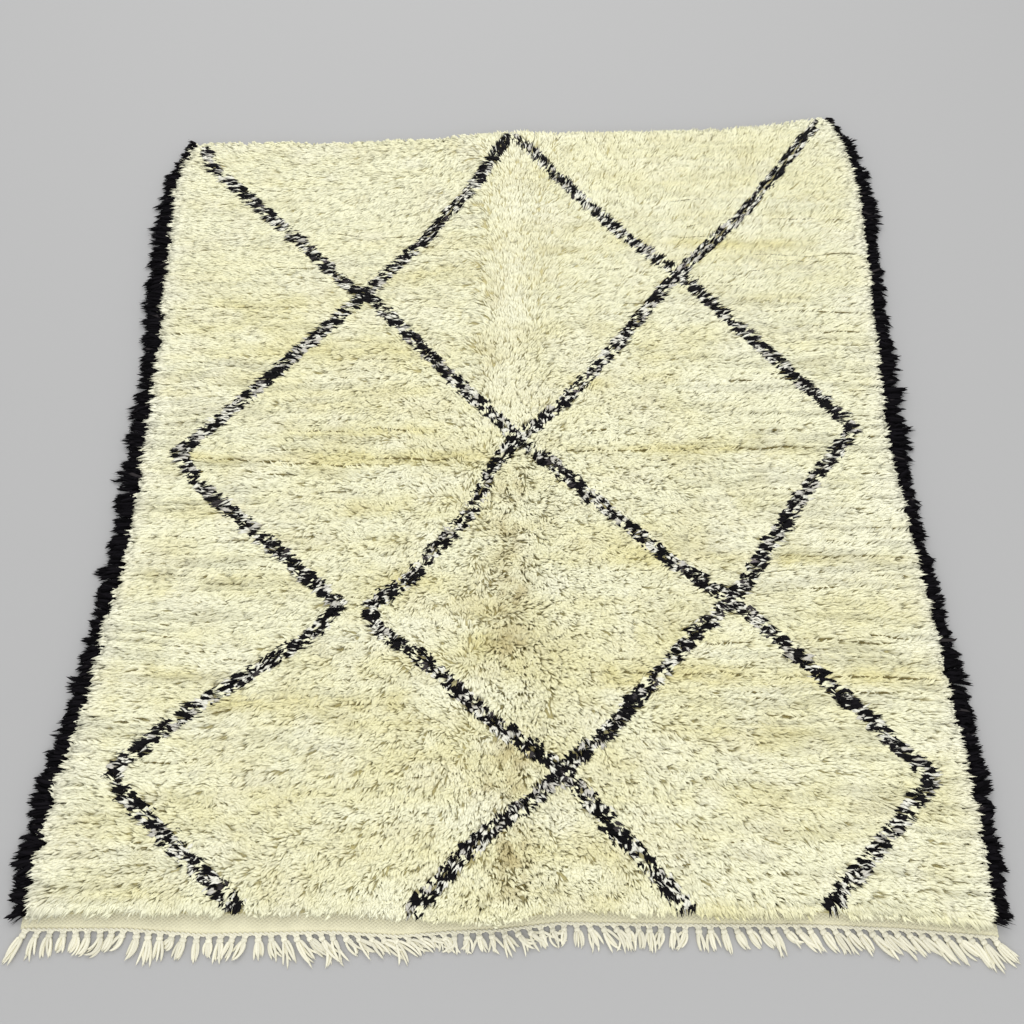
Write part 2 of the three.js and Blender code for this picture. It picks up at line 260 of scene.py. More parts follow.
# Spots of the middle fold, where the wool opens: across, along, half width, half length, tan, yellow
SPOTS = [
    (0.000, 0.745, 0.030, 0.050, 0.50, 0.0),
    (-0.010, 0.640, 0.028, 0.050, 0.65, 0.0),
    (0.000, 0.530, 0.034, 0.050, 0.75, 0.0),
    (-0.005, 0.430, 0.034, 0.040, 0.85, 0.0),
    (0.002, 0.245, 0.036, 0.032, 0.90, 0.0),
    (-0.020, 0.190, 0.046, 0.026, 0.80, 0.2),
    (-0.005, 0.085, 0.032, 0.045, 0.95, 0.1),
    (-0.010, 0.035, 0.028, 0.022, 0.65, 0.1),
    (-0.035, 1.190, 0.020, 0.030, 0.45, 0.2),
    (-0.055, 1.060, 0.025, 0.050, 0.30, 0.3),
    (-0.060, 0.505, 0.034, 0.018, 0.10, 0.9),
    (-0.052, 0.440, 0.036, 0.016, 0.10, 0.8),
    (-0.170, 0.560, 0.050, 0.018, 0.15, 0.7),
    (-0.030, 0.590, 0.040, 0.012, 0.10, 0.6),
    (-0.240, 0.330, 0.090, 0.024, 0.12, 0.5),
    (0.200, 0.640, 0.070, 0.020, 0.05, 0.5),
    (0.420, 0.590, 0.060, 0.016, 0.05, 0.5),
    (-0.400, 0.640, 0.060, 0.018, 0.05, 0.5),
    (0.120, 0.330, 0.050, 0.014, 0.15, 0.4),
    (-0.290, 0.700, 0.050, 0.014, 0.05, 0.5),
    (-0.110, 1.330, 0.050, 0.014, 0.10, 0.5),
    (0.160, 0.980, 0.060, 0.018, 0.05, 0.5),
]

# Partings: along, from across, to across, strength
LISTED_PARTINGS = [
    (0.803, -0.61, -0.40, 0.9),
    (0.797, -0.46, -0.22, 1.0),
    (0.808, -0.27, -0.06, 0.9),
    (0.867, -0.44, -0.31, 0.9),
    (0.872, -0.30, -0.17, 1.0),
    (0.828, 0.10, 0.34, 0.7),
    (0.832, 0.36, 0.58, 0.8),
    (0.602, 0.46, 0.75, 0.8),
    (0.385, 0.14, 0.42, 0.8),
    (0.378, 0.45, 0.74, 1.0),
    (0.352, 0.52, 0.70, 0.6),
    (0.342, -0.50, -0.32, 0.6),
    (0.327, -0.36, -0.17, 0.6),
    (0.566, -0.71, -0.48, 0.6),
    (0.640, -0.70, -0.45, 0.5),
    (0.590, -0.72, -0.58, 0.7),
    (1.150, 0.52, 0.72, 0.7),
    (1.100, 0.60, 0.73, 0.6),
    (1.300, 0.50, 0.73, 0.5),
    (0.700, 0.55, 0.74, 0.7),
    (0.660, 0.62, 0.74, 0.6),
    (0.450, 0.45, 0.74, 0.7),
    (1.160, -0.71, -0.45, 0.4),
]

# %% [markdown]
# ## From the lists to the wool
#
# A list says where a streak or a parting begins and ends, and these functions say what it does to the
# wool at any place. A few hundred short partings are added by chance: some along the rows, most of them
# towards the two sides, and some slanting ones down the middle fold, where the wool opens.

# %% Streaks, spots and partings at any place
FOLD = 0.000
STREAK_WANDER, STREAK_WAVE = 0.012, 0.11
STREAK_END = 0.03
STREAK_SOFTNESS = 0.003
CHANCE_PARTINGS, FOLD_PARTINGS = 210, 230
RIGHT_SHARE = 0.55
FARTHEST_OUT, OUT_RUN = 0.75, 0.62
CHANCE_START, CHANCE_RUN = 0.06, 1.42
CHANCE_LENGTH, CHANCE_STRENGTH = (0.025, 0.120), (0.15, 0.85)
FOLD_RUN, FOLD_SPREAD, FOLD_SLANT = (0.03, 0.84), 0.024, 0.45
FOLD_HALF_LENGTH, FOLD_STRENGTH = (0.004, 0.010), (0.55, 1.0)
PARTING_REACH = 0.0095
PARTING_OPENS = (0.0022, 0.0028)
PARTING_END = 0.012
PARTING_SEARCH = 0.02
SLOW_WAVE, QUICK_WAVE = (0.011, 0.055), (0.005, 0.016)


def streaked(x, y):
    """How yellow each point is: the strongest of the streaks it lies in."""
    yellow = np.zeros(len(x))
    wander = STREAK_WANDER * (line_noise(x, STREAK_WAVE, 71) - 0.5)
    for along, start, stop, depth, tone in STREAKS:
        begun = ease(x, start - STREAK_END, start + STREAK_END)
        over = ease(x, stop - STREAK_END, stop + STREAK_END)
        off = y - ORIGIN[1] - along - wander
        yellow = np.maximum(yellow, tone * begun * (1 - over) * bell(off, depth + STREAK_SOFTNESS))
    return yellow


def spotted(x, along):
    """How tan and how yellow each point is in the spots: the strongest of those it lies in."""
    tan, yellow = np.zeros(len(x)), np.zeros(len(x))
    for spot_x, spot_along, half_width, half_length, tan_share, yellow_share in SPOTS:
        inside = bell(x - spot_x, half_width) * bell(along - spot_along, half_length)
        tan = np.maximum(tan, tan_share * inside)
        yellow = np.maximum(yellow, yellow_share * inside)
    return tan, yellow


def all_partings(draw):
    """The listed partings, then those drawn by chance, then short slanting ones down the fold: rows of
    along, from, to, strength and slope."""
    count = CHANCE_PARTINGS
    side = np.where(draw.random(count) < RIGHT_SHARE, 1, -1)
    middle = side * (FARTHEST_OUT - OUT_RUN * draw.random(count) ** 1.5)
    along = CHANCE_START + CHANCE_RUN * draw.random(count) ** 1.15
    half = 0.5 * np.exp(draw.uniform(*np.log(CHANCE_LENGTH), count))
    strength = draw.uniform(*CHANCE_STRENGTH, count) * (1 - 0.6 * far_third(along))
    level = [np.array(LISTED_PARTINGS), np.stack([along, middle - half, middle + half, strength], 1)]
    level = np.column_stack([np.concatenate(level), np.zeros(count + len(LISTED_PARTINGS))])
    count = FOLD_PARTINGS
    along = draw.uniform(*FOLD_RUN, count)
    middle = FOLD + draw.normal(-0.002, FOLD_SPREAD, count)
    half = draw.uniform(*FOLD_HALF_LENGTH, count)
    strength = draw.uniform(*FOLD_STRENGTH, count) * (0.60 + spotted(middle, along)[0])
    slope = draw.normal(0, FOLD_SLANT, count)
    return np.concatenate([level, np.stack([along, middle - half, middle + half, strength, slope], 1)])


PARTINGS = all_partings(np.random.default_rng(75))


def parting_line(k, x):
    """Where parting k lies along the rug at places across it: along a row or slanting, in soft waves."""
    along, start, stop, _, slope = PARTINGS[k]
    slow = SLOW_WAVE[0] * (line_noise(x, SLOW_WAVE[1], 76, 3.7 * k) - 0.5)
    quick = QUICK_WAVE[0] * (line_noise(x, QUICK_WAVE[1], 77, 3.7 * k) - 0.5)
    return ORIGIN[1] + along + slope * (x - 0.5 * (start + stop)) + slow + quick


def parted(x, y):
    """How far each point is pushed off the partings beside it. The push is greatest on the line and
    falls evenly to nothing at the parting's reach."""
    push = np.zeros(len(x))
    for k, (along, start, stop, strength, _) in enumerate(PARTINGS):
        beside = np.abs(y - ORIGIN[1] - along) < PARTING_SEARCH
        near = np.flatnonzero(beside & (x > start) & (x < stop))
        off = y[near] - parting_line(k, x[near])
        ends = ease(np.minimum(x[near] - start, stop - x[near]), 0, PARTING_END)
        open_by = ends * (PARTING_OPENS[0] + PARTING_OPENS[1] * strength)
        push[near] += open_by * np.sign(off) * np.clip(1 - np.abs(off) / PARTING_REACH, 0, 1)
    return push


print("partings between rows:", len(PARTINGS))

# %% [markdown]
# ## How the pile leans
#
# Thick pile never stands straight. It has been combed outwards by rolling, trodden and shaken, so it
# falls away from the middle of the rug: to the left and right, over the near end in front and over the
# far end behind. Along the middle fold it parts like hair from a crown. A field of directions says which
# way each tuft falls, made of those pulls and of soft noise, so that neighbours lean alike.

# %% Lean and height of the pile
PILE_FLOOR = 0.004
PILE_DEPTH = 0.0185
RIDGE_RISE, RIDGE_HALF_WIDTH = 0.0075, 0.050
RIM_DEPTH, RIM_SHARE = 0.028, 0.60
UNEVEN, UNEVEN_SIZE = 0.0026, (0.19, 0.13)
BED_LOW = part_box("pile_field")[0].z
BED_SHARE, BED_LIFT = 0.61, 0.002
FAR_FOLD = (0.80, 1.10)
CROWN, CROWN_PULL = (0.720, 0.920), 1.3
SWIRL_SIZE, FINE_SIZE = (0.16, 0.11), (0.034, 0.026)
# The wool is curly about the fold and at the near end. It calms over each of these stretches.
CURLY_HALF_WIDTH, CURLY_NEAR = 0.40, 0.75
FOLD_CALMS, NEAR_CALMS = (0.90, 1.20), (0.10, 0.45)
SIDES_CALM, RIGHT_CALMS = (0.45, 0.70), (0.05, 0.30)
# How hard the rims pull the wool over themselves, and how far in that is felt.
NEAR_PULL, FAR_PULL, SIDE_PULL = (-2.0, 0.016), (0.4, 0.03), (2.2, 0.030)

# Each row: metres along, then the way the wool falls, in degrees from +X towards +Y, at places across.
COMB_ACROSS = np.array([-0.70, -0.42, -0.14, 0.14, 0.42, 0.70])
COMB = np.array([
    (0.06, 188, 198, 235, 298, 325, 350),
    (0.22, 182, 188, 208, 322, 342, 356),
    (0.50, 194, 188, 190, 350, 360, 370),
    (0.80, 184, 180, 180, 360, 364, 372),
    (1.02, 176, 180, 180, 372, 364, 368),
    (1.20, 166, 182, 188, 402, 398, 398),
    (1.40, 176, 200, 212, 422, 415, 408),
    (1.65, 180, 190, 210, 435, 422, 410),
])


def combed(x, along):
    """The fall of the pile as two arrays: the directions of the table, blended between its places."""
    stops, turns = COMB[:, 0], np.radians(COMB[:, 1:])
    i = np.clip(np.searchsorted(COMB_ACROSS, x) - 1, 0, len(COMB_ACROSS) - 2)
    j = np.clip(np.searchsorted(stops, along) - 1, 0, len(stops) - 2)
    s = np.clip((x - COMB_ACROSS[i]) / (COMB_ACROSS[i + 1] - COMB_ACROSS[i]), 0, 1)
    t = np.clip((along - stops[j]) / (stops[j + 1] - stops[j]), 0, 1)
    parts = []
    for grid in (np.cos(turns), np.sin(turns)):
        low = grid[j, i] * (1 - s) + grid[j, i + 1] * s
        high = grid[j + 1, i] * (1 - s) + grid[j + 1, i + 1] * s
        parts.append(low * (1 - t) + high * t)
    return parts


def side_distance(x, y):
    """Distance in from the nearer side of the cream field."""
    return np.clip(np.minimum(x - at(FIELD_LEFT, y), at(FIELD_RIGHT, y) - x), 0, None)


def rim_distance(x, y):
    """Distance in from the nearest edge of the cream field."""
    ends = np.minimum(y - at(FIELD_START, x), at(FIELD_END, x) - y)
    return np.clip(np.minimum(side_distance(x, y), ends), 0, None)


def curly(x, y):
    """How unruly the wool is, from 0 to 1: most about the middle and at the near end, least at the
    sides and in the far third."""
    along = y - ORIGIN[1]
    middle = bell(x - FOLD, CURLY_HALF_WIDTH) * (1 - 0.65 * ease(along, *FOLD_CALMS))
    near = CURLY_NEAR * (1 - ease(along, *NEAR_CALMS)) * (1 - 0.7 * ease(np.abs(x), *SIDES_CALM))
    near = near * (1 - 0.4 * ease(x, *RIGHT_CALMS))
    return np.clip(np.maximum(middle, near), 0, 1)


def pile_top(x, y):
    """Height of the pile's surface: its depth and the ridge, sinking at the rim."""
    shoulder = RIM_SHARE + (1 - RIM_SHARE) * np.clip(rim_distance(x, y) / RIM_DEPTH, 0, 1) ** 0.5
    uneven = UNEVEN * (smooth_noise(x, y, *UNEVEN_SIZE, 3) - 0.5)
    return PILE_FLOOR + shoulder * (PILE_DEPTH + RIDGE_RISE * bell(x - FOLD, RIDGE_HALF_WIDTH) + uneven)


def bed_height(x, y):
    """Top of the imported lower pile: a share of the pile's own height, more in the calm far third, where
    the wool is fluffed up, and sinking at the rim."""
    along = y - ORIGIN[1]
    fluffed = 0.10 * far_third(along) + 0.10 * bell(x - FOLD, 0.12) * ease(along, *FAR_FOLD)
    share = (BED_SHARE + fluffed) * ease(rim_distance(x, y), 0.0, RIM_DEPTH)
    return BED_LOW + BED_LIFT + share * (pile_top(x, y) - BED_LOW)


def lean(x, y):
    """Unit direction across the floor in which the pile falls at each point, as two arrays: the combed
    fall, a broad and a fine swirl, and the pulls of the crown and the rims, added up."""
    to_near, to_far = y - at(FIELD_START, x), at(FIELD_END, x) - y
    to_side = np.minimum(x - at(FIELD_LEFT, y), at(FIELD_RIGHT, y) - x)
    along = y - ORIGIN[1]
    unruly = curly(x, y)
    dx, dy = combed(x - FOLD, along)
    for size, seed, steady, wild in ((SWIRL_SIZE, 11, 0.10, 0.22), (FINE_SIZE, 12, 0.10, 0.34)):
        turn = 2 * math.pi * (smooth_noise(x, y, *size, seed) - 0.5)
        dx += (steady + wild * unruly) * np.cos(turn)
        dy += (steady + wild * unruly) * np.sin(turn)
    dy += CROWN_PULL * bell(x - FOLD, RIDGE_HALF_WIDTH) * ease(along, *CROWN)
    dy += NEAR_PULL[0] * np.exp(-to_near / NEAR_PULL[1]) + FAR_PULL[0] * np.exp(-to_far / FAR_PULL[1])
    dx += SIDE_PULL[0] * np.sign(x) * np.exp(-to_side / SIDE_PULL[1])
    size = np.hypot(dx, dy) + LEAST_LENGTH
    return dx / size, dy / size


# %% [markdown]
# ## How the wool lies in rows
#
# Calm wool settles back into the rows in which it was knotted. Each row draws a little towards its own
# middle, so a faint dark line shows between it and the next, and the strands that lie between two rows
# are darkened as painted shade. The rows wave as the weft does, and they fade where the wool is unruly
# and in the fluffed far third.

# %% Rows of the calm wool
ROW_PITCH, ROW_LENGTH = 0.0066, 0.110
ROW_PULL, ROW_SLOPE, ROW_AHEAD = 0.0031, 0.12, 0.0015
ROW_WAVE, ROW_WAVE_SIZE = 0.014, (0.085, 0.30)


def rowed(x, y):
    """How far each point is drawn along the rug towards the middle of its row, and how deep it lies
    between two rows, from 0 to 1."""
    calm = (1 - curly(x, y)) * (1 - 0.6 * far_third(y - ORIGIN[1]))
    wave = y + ROW_WAVE * smooth_noise(x, y, *ROW_WAVE_SIZE, 79)
    level = smooth_noise(x, wave, ROW_LENGTH, ROW_PITCH, 80)
    ahead = smooth_noise(x, wave + ROW_AHEAD, ROW_LENGTH, ROW_PITCH, 80)
    pull = ROW_PULL * np.clip((ahead - level) / ROW_SLOPE, -1, 1)
    return calm * pull, calm * (1 - ease(level, 0.15, 0.50))


# %% [markdown]
# ## One strand
#
# A strand of cut wool comes up out of the ground, swells, leans over under its own weight and ends in a
# blunt tip. In the field it is a leaf: a root, two points side by side at its crest, and a tip, which
# makes four faces, because there are nearly two hundred thousand of them. The longer wool of the edging
# bends, so there a strand is a spindle with two rings, and finer fibres are spikes of four faces. All
# are built together as whole arrays.

# %% Mesh helpers
MAP_MARGIN = 0.12


def normalised(vectors):
    """Each row divided by its length."""
    return vectors / np.maximum(np.linalg.norm(vectors, axis=-1, keepdims=True), TINY)


def mesh_object(name, points, faces, material, smooth=True):
    """An object at the origin from arrays of points and of faces that all have as many corners."""
    mesh = bpy.data.meshes.new(name)
    mesh.vertices.add(len(points))
    mesh.vertices.foreach_set("co", points.astype(np.float32).ravel())
    mesh.loops.add(faces.size)
    mesh.loops.foreach_set("vertex_index", faces.astype(np.int32).ravel())
    mesh.polygons.add(len(faces))
    mesh.polygons.foreach_set("loop_start", np.arange(0, faces.size, faces.shape[1], dtype=np.int32))
    mesh.update(calc_edges=True)
    mesh.polygons.foreach_set("use_smooth", np.full(len(faces), smooth))
    mesh.materials.append(material)
    obj = bpy.data.objects.new(name, mesh)
    bpy.context.scene.collection.objects.link(obj)
    return obj


def paint(obj, colours):
    """Gives each point its own colour, in linear red, green and blue."""
    layer = obj.data.attributes.new("wool", "FLOAT_COLOR", "POINT")
    rgba = np.concatenate([colours, np.ones((len(colours), 1))], axis=1)
    layer.data.foreach_set("color", rgba.astype(np.float32).ravel())


def all_corners(colours, corners):
    """Each part's colour, repeated for all its corners."""
    return np.repeat(colours[:, None, :], corners, axis=1)


def many(name, sets, material):
    """One object from sets of like parts. A set is the points (parts, corners, 3), the faces of one
    part, where those faces lie on a unit square, and the colours (parts, corners, 3). Every part gets
    a small square of the map to itself, side by side in rows."""
    total = sum(len(points) for points, _, _, _ in sets)
    cells = math.ceil(math.sqrt(total))
    points_of, faces_of, map_of, colours_of = [], [], [], []
    first_point, first_part = 0, 0
    for points, faces, patch, colours in sets:
        count, corners = points.shape[:2]
        number = np.arange(count)[:, None, None]
        faces_of.append((faces[None] + corners * number + first_point).reshape(-1, 3))
        cell = first_part + np.arange(count)
        origin = np.stack([cell % cells, cell // cells], 1)
        inside = MAP_MARGIN + (1 - 2 * MAP_MARGIN) * patch.reshape(-1, 2)[None]
        map_of.append((origin[:, None, :] + inside) / cells)
        points_of.append(points.reshape(-1, 3))
        colours_of.append(colours.reshape(-1, 3))
        first_point += count * corners
        first_part += count
    obj = mesh_object(name, np.concatenate(points_of), np.concatenate(faces_of), material)
    paint(obj, np.concatenate(colours_of))
    layer = obj.data.uv_layers.new(name="OFBake")
    flat = np.concatenate([part.reshape(-1, 2) for part in map_of])
    layer.uv.foreach_set("vector", flat.astype(np.float32).ravel())
    return obj


# %% [markdown]
# ## Many strands at once
#
# A strand is laid between a root and a tip that are already known, so only its cross-section is worked
# out here. Its width is set square to its own run, and it is turned about that run by an angle of its
# own, so that no two strands catch the light alike.

# %% Strand helpers
UP = np.array([0.0, 0.0, 1.0])
SIDES = 3
FLAT = 0.70
TOP_FACE = math.pi / 6


def square_to(along):
    """Two unit directions square to each run: level with the floor, and over it."""
    side = normalised(np.cross(along, UP))
    return side, np.cross(side, along)


def rings(centres, along, width, turn):
    """A ring of three points about each centre, square to the strand and a little flat, with its
    broad face upwards, then turned about the strand by its own angle."""
    side, over = square_to(along)
    angle = TOP_FACE + np.arange(SIDES) * 2 * math.pi / SIDES + turn[:, None]
    spokes = np.cos(angle)[:, :, None] * side[:, None, :]
    spokes = spokes + FLAT * np.sin(angle)[:, :, None] * over[:, None, :]
    return centres[:, None, :] + 0.5 * width[:, None, None] * spokes


def spindles(roots, bends, shoulders, tips, bend_width, shoulder_width, turn):
    """Points of many strands: the root, a ring at the bend, a ring at the shoulder, and the tip."""
    low = rings(bends, normalised(shoulders - roots), bend_width, turn)
    high = rings(shoulders, normalised(tips - bends), shoulder_width, turn)
    return np.concatenate([roots[:, None, :], low, high, tips[:, None, :]], axis=1)


def leaves(roots, crests, tips, width, turn):
    """Points of many short strands: the root, the left and right of the crest, and the tip. The two
    sides of the crest trade places wherever the four points would enclose a volume inside out."""
    side, over = square_to(normalised(tips - roots))
    reach = 0.5 * width[:, None] * (np.cos(turn)[:, None] * side + np.sin(turn)[:, None] * over)
    left, right = crests - reach - roots, crests + reach - roots
    volume = np.einsum("ij,ij->i", np.cross(left, right), tips - roots)
    reach = np.where(volume[:, None] > 0, -reach, reach)
    return np.stack([roots, crests - reach, crests + reach, tips], axis=1)


def spikes(roots, tips, width, turn):
    """Points of many straight fibres: a ring at the root, and the tip."""
    low = rings(roots, normalised(tips - roots), width, turn)
    return np.concatenate([low, tips[:, None, :]], axis=1)


def spindle_faces():
    """Faces and map of a strand: round it in steps across, and up from its root to its tip."""
    faces, patch = [], []
    for i in range(SIDES):
        j = (i + 1) % SIDES
        low, high = i / SIDES, (i + 1) / SIDES
        a, b, c, d = 1 + i, 1 + j, 4 + i, 4 + j
        faces += [(0, b, a), (a, b, d), (a, d, c), (c, d, 7)]
        patch.append([((low + high) / 2, 0.0), (high, 0.3), (low, 0.3)])
        patch.append([(low, 0.3), (high, 0.3), (high, 0.7)])
        patch.append([(low, 0.3), (high, 0.7), (low, 0.7)])
        patch.append([(low, 0.7), (high, 0.7), ((low + high) / 2, 1.0)])
    return np.array(faces), np.array(patch)


def leaf_faces():
    """Faces and map of a short strand: two on its upper side, and two that meet along its keel."""
    faces = [(0, 2, 1), (1, 2, 3), (0, 1, 3), (0, 3, 2)]
    patch = [
        [(0.25, 0.0), (0.5, 0.5), (0.0, 0.5)],
        [(0.0, 0.5), (0.5, 0.5), (0.25, 1.0)],
        [(0.6, 0.0), (0.75, 0.5), (0.6, 1.0)],
        [(0.8, 0.0), (0.8, 1.0), (0.95, 0.5)],
    ]
    return np.array(faces), np.array(patch)


def spike_faces():
    """Faces and map of a fibre: its closed root, and its three sides."""
    faces, patch = [(0, 2, 1)], [[(0.1, 0.0), (0.5, 0.0), (0.3, 0.0)]]
    for i in range(SIDES):
        low, high = i / SIDES, (i + 1) / SIDES
        faces.append((i, (i + 1) % SIDES, SIDES))
        patch.append([(low, 0.02), (high, 0.02), ((low + high) / 2, 1.0)])
    return np.array(faces), np.array(patch)


SPINDLE, SPINDLE_MAP = spindle_faces()
SPIKE, SPIKE_MAP = spike_faces()
LEAF, LEAF_MAP = leaf_faces()
print("faces of a field strand:", len(LEAF), "an edging strand:", len(SPINDLE), "a fibre:", len(SPIKE))


# %% [markdown]
# ## Wool finishes
#
# Wool is matt with a faint sheen. The colour of each strand is stored on its points, and the material
# adds what is too fine to model. Light enters a lock of wool and spreads, so its sides are hardly
# darker than its top: the shading normal is drawn part of the way up to give that softness.

# %% Wool materials
ROUGHNESS = 0.9
SHEEN_ROUGHNESS = 0.5
FIBRE_SCALE = 900
WEAVE_SHADE = (0.95, 1.02)


def feed(tree, node, inputs):
    """Sets a node's inputs, by name or number: a socket is linked, anything else is a plain value."""
    for key, value in inputs.items():
        if isinstance(value, bpy.types.NodeSocket):
            tree.links.new(value, node.inputs[key])
        else:
            node.inputs[key].default_value = value


def add_node(tree, kind, inputs, operation=None):
    """A new shader node with its operation and its inputs."""
    node = tree.nodes.new("ShaderNode" + kind)
    if operation:
        node.operation = operation
    feed(tree, node, inputs)
    return node


def wool_material(name, sheen, gloss, contrast, softness):
    """The points' own colour with a little fine noise, matt, with a sheen. The normal is one part
    softness straight up to the rest of the surface's own."""
    material = bpy.data.materials.new(name)
    material.use_nodes = True
    tree = material.node_tree
    colour = add_node(tree, "Attribute", {})
    colour.attribute_name = "wool"
    where = add_node(tree, "TexCoord", {})
    fibres = add_node(tree, "TexNoise", {"Vector": where.outputs["Object"], "Scale": FIBRE_SCALE})
    span = {"To Min": 1 - contrast, "To Max": 1 + contrast}
    shade = add_node(tree, "MapRange", {"Value": fibres.outputs["Fac"], **span})
    mix = {0: colour.outputs["Color"], "Scale": shade.outputs["Result"]}
    mixed = add_node(tree, "VectorMath", mix, "SCALE")
    surface = add_node(tree, "NewGeometry", {})
    lift = {0: surface.outputs["Normal"], 1: [1 - softness] * 3, 2: (0, 0, softness)}
    raised = add_node(tree, "VectorMath", lift, "MULTIPLY_ADD")
    unit = add_node(tree, "VectorMath", {0: raised.outputs["Vector"]}, "NORMALIZE")
    feed(tree, tree.nodes["Principled BSDF"], {
        "Roughness": ROUGHNESS,
        "Specular IOR Level": gloss,
        "Sheen Weight": sheen,
        "Sheen Roughness": SHEEN_ROUGHNESS,
        "Base Color": mixed.outputs["Vector"],
        "Normal": unit.outputs["Vector"],
    })
    return material


def woven(material, warp_pitch, weft_pitch, depth):
    """Adds a plain weave to a wool material: the product of a wave across and a wave along swells
    where a yarn lies on top and sinks where it dips. It bends the normal and paints shade in the dips."""
    tree = material.node_tree
    shader = tree.nodes["Principled BSDF"]
    where = add_node(tree, "TexCoord", {})
    split = add_node(tree, "SeparateXYZ", {0: where.outputs["Object"]})
    waves = []
    for axis, pitch in (("X", warp_pitch), ("Y", weft_pitch)):
        turn = add_node(tree, "Math", {0: split.outputs[axis], 1: math.pi / pitch}, "MULTIPLY")
        waves.append(add_node(tree, "Math", {0: turn.outputs[0]}, "SINE"))
    height = add_node(tree, "Math", {0: waves[0].outputs[0], 1: waves[1].outputs[0]}, "MULTIPLY")
    relief = add_node(tree, "Bump", {"Distance": depth, "Height": height.outputs[0]})
    # The dips of the weave are darkened: painted shade.
    span = {"From Min": -1, "To Min": WEAVE_SHADE[0], "To Max": WEAVE_SHADE[1]}
    shade = add_node(tree, "MapRange", {"Value": height.outputs[0], **span})
    colour = shader.inputs["Base Color"].links[0].from_socket
    tinted = add_node(tree, "VectorMath", {0: colour, "Scale": shade.outputs["Result"]}, "SCALE")
    feed(tree, shader, {"Normal": relief.outputs["Normal"], "Base Color": tinted.outputs["Vector"]})
    return material


cream_wool = wool_material("cream wool", sheen=0.1, gloss=0.1, contrast=0.06, softness=0.55)
black_wool = wool_material("black wool", sheen=0.0, gloss=0.05, contrast=0.2, softness=0.2)
warp_yarn = wool_material("warp yarn", sheen=0.1, gloss=0.15, contrast=0.1, softness=0.2)
ground_wool = wool_material("ground wool", sheen=0.1, gloss=0.1, contrast=0.16, softness=0.0)
ground_wool = woven(ground_wool, warp_pitch=0.0036, weft_pitch=0.0026, depth=0.0003)

CREAM = np.array([0.92, 0.905, 0.655])
YELLOW_CREAM = np.array([0.83, 0.78, 0.43])
TAN = np.array([0.56, 0.485, 0.25])
PALE = np.array([0.97, 0.955, 0.81])
SHADOW = np.array([0.70, 0.64, 0.45])
# Painted shade: the colour of the dark strands laid in the partings.
PARTING_SHADE = np.array([0.19, 0.155, 0.055])
BLACK = np.array([0.004, 0.0035, 0.0045])
MAUVE = np.array([0.20, 0.175, 0.18])
GREY = np.array([0.62, 0.60, 0.535])
WHITE = np.array([0.86, 0.85, 0.745])


def blend(a, b, share):
    """Between two colours, one share for each row."""
    return a + (b - a) * np.asarray(share)[:, None]


# %% [markdown]
# ## The knots of the field
#
# Each knot is a pair of short yarns that open into nine strands. Knots sit in rows, with a little
# wander. The strands of a knot fall together and draw to a common tip.

# %% Knots of the field
KNOTS_ACROSS = 154
KNOT_ROWS = 143
EDGE_SHARE = 0.003
OVERHANG = (0.0085, 0.0045)
NEAR_HANG = 0.006
FAR_HANG = 0.0015
RAGGED, RAGGED_SIZE = 2.3, (0.012, 0.008)
HANG_SIZE = (0.014, 0.010)
FALL_REACH, CALM_REACH = 0.0225, 0.0130
CALM_TURN, CURLY_TURN = 0.09, 0.24
# How far chance moves a knot, in shares of its pitch across and along, and how it changes the rest.
KNOT_WANDER = (0.30, 0.22)
REACH_CHANCE, TOP_CHANCE, TONE_CHANCE = (0.82, 1.18), (0.96, 1.02), (0.965, 1.04)
# How far in from the field's start the wool ends, at places across. Less than nothing hangs over.
NEAR_INSET = np.array([
    (-0.30, 0.001),
    (-0.19, -0.001),
    (0.10, 0.001),
    (0.24, -0.005),
    (0.37, -0.008),
    (0.50, -0.005),
    (0.60, -0.003),
    (0.70, -0.007),
])
random = np.random.default_rng(7)
columns, rows = (grid.ravel() for grid in np.meshgrid(np.arange(KNOTS_ACROSS), np.arange(KNOT_ROWS)))
knots = len(columns)
wander_u = random.uniform(-KNOT_WANDER[0], KNOT_WANDER[0], knots)
wander_v = random.uniform(-KNOT_WANDER[1], KNOT_WANDER[1], knots)
knot_u = (columns + 0.5 + 0.5 * (rows % 2 - 0.5) + wander_u) / KNOTS_ACROSS
knot_v = (rows + 0.5 + wander_v) / KNOT_ROWS
knot_x, knot_y = place(*np.clip([knot_u, knot_v], EDGE_SHARE, 1 - EDGE_SHARE), FIELD)


def falls(x, y, draw):
    """How each knot falls: over the floor in two arrays, and how unruly it is. Its reach grows where
    the wool is calm, and stops a ragged step past the sides and the far end."""
    way_x, way_y = lean(x, y)
    unruly = curly(x, y)
    reach = (FALL_REACH + CALM_REACH * (1 - unruly)) * draw.uniform(*REACH_CHANCE, len(x))
    ragged = RAGGED * ease(smooth_noise(x, y, *RAGGED_SIZE, 13), 0.15, 0.95)
    room = np.minimum(side_distance(x, y), np.clip(at(FIELD_END, x) - y, 0, None))
    reach = np.minimum(reach, room + np.where(x < 0, *OVERHANG) * ragged)
    turned = draw.normal(0, 1, len(x)) * (CALM_TURN + CURLY_TURN * unruly)
    fall_x = reach * (way_x * np.cos(turned) - way_y * np.sin(turned))
    fall_y = reach * (way_x * np.sin(turned) + way_y * np.cos(turned))
    farthest = at(FIELD_END, x) - y + FAR_HANG * ragged
    return fall_x, np.minimum(fall_y, farthest), unruly


def tied_in(x, y, fall_y):
    """How much further along the rug the first knots sit, so that their wool ends evenly at the near
    rim instead of hanging over the band."""
    hang = NEAR_HANG * (smooth_noise(x, y, *HANG_SIZE, 14) - 0.5)
    inset = np.interp(x, NEAR_INSET[:, 0], NEAR_INSET[:, 1])
    return np.clip(at(FIELD_START, x) + inset - hang - y - fall_y, 0, None)


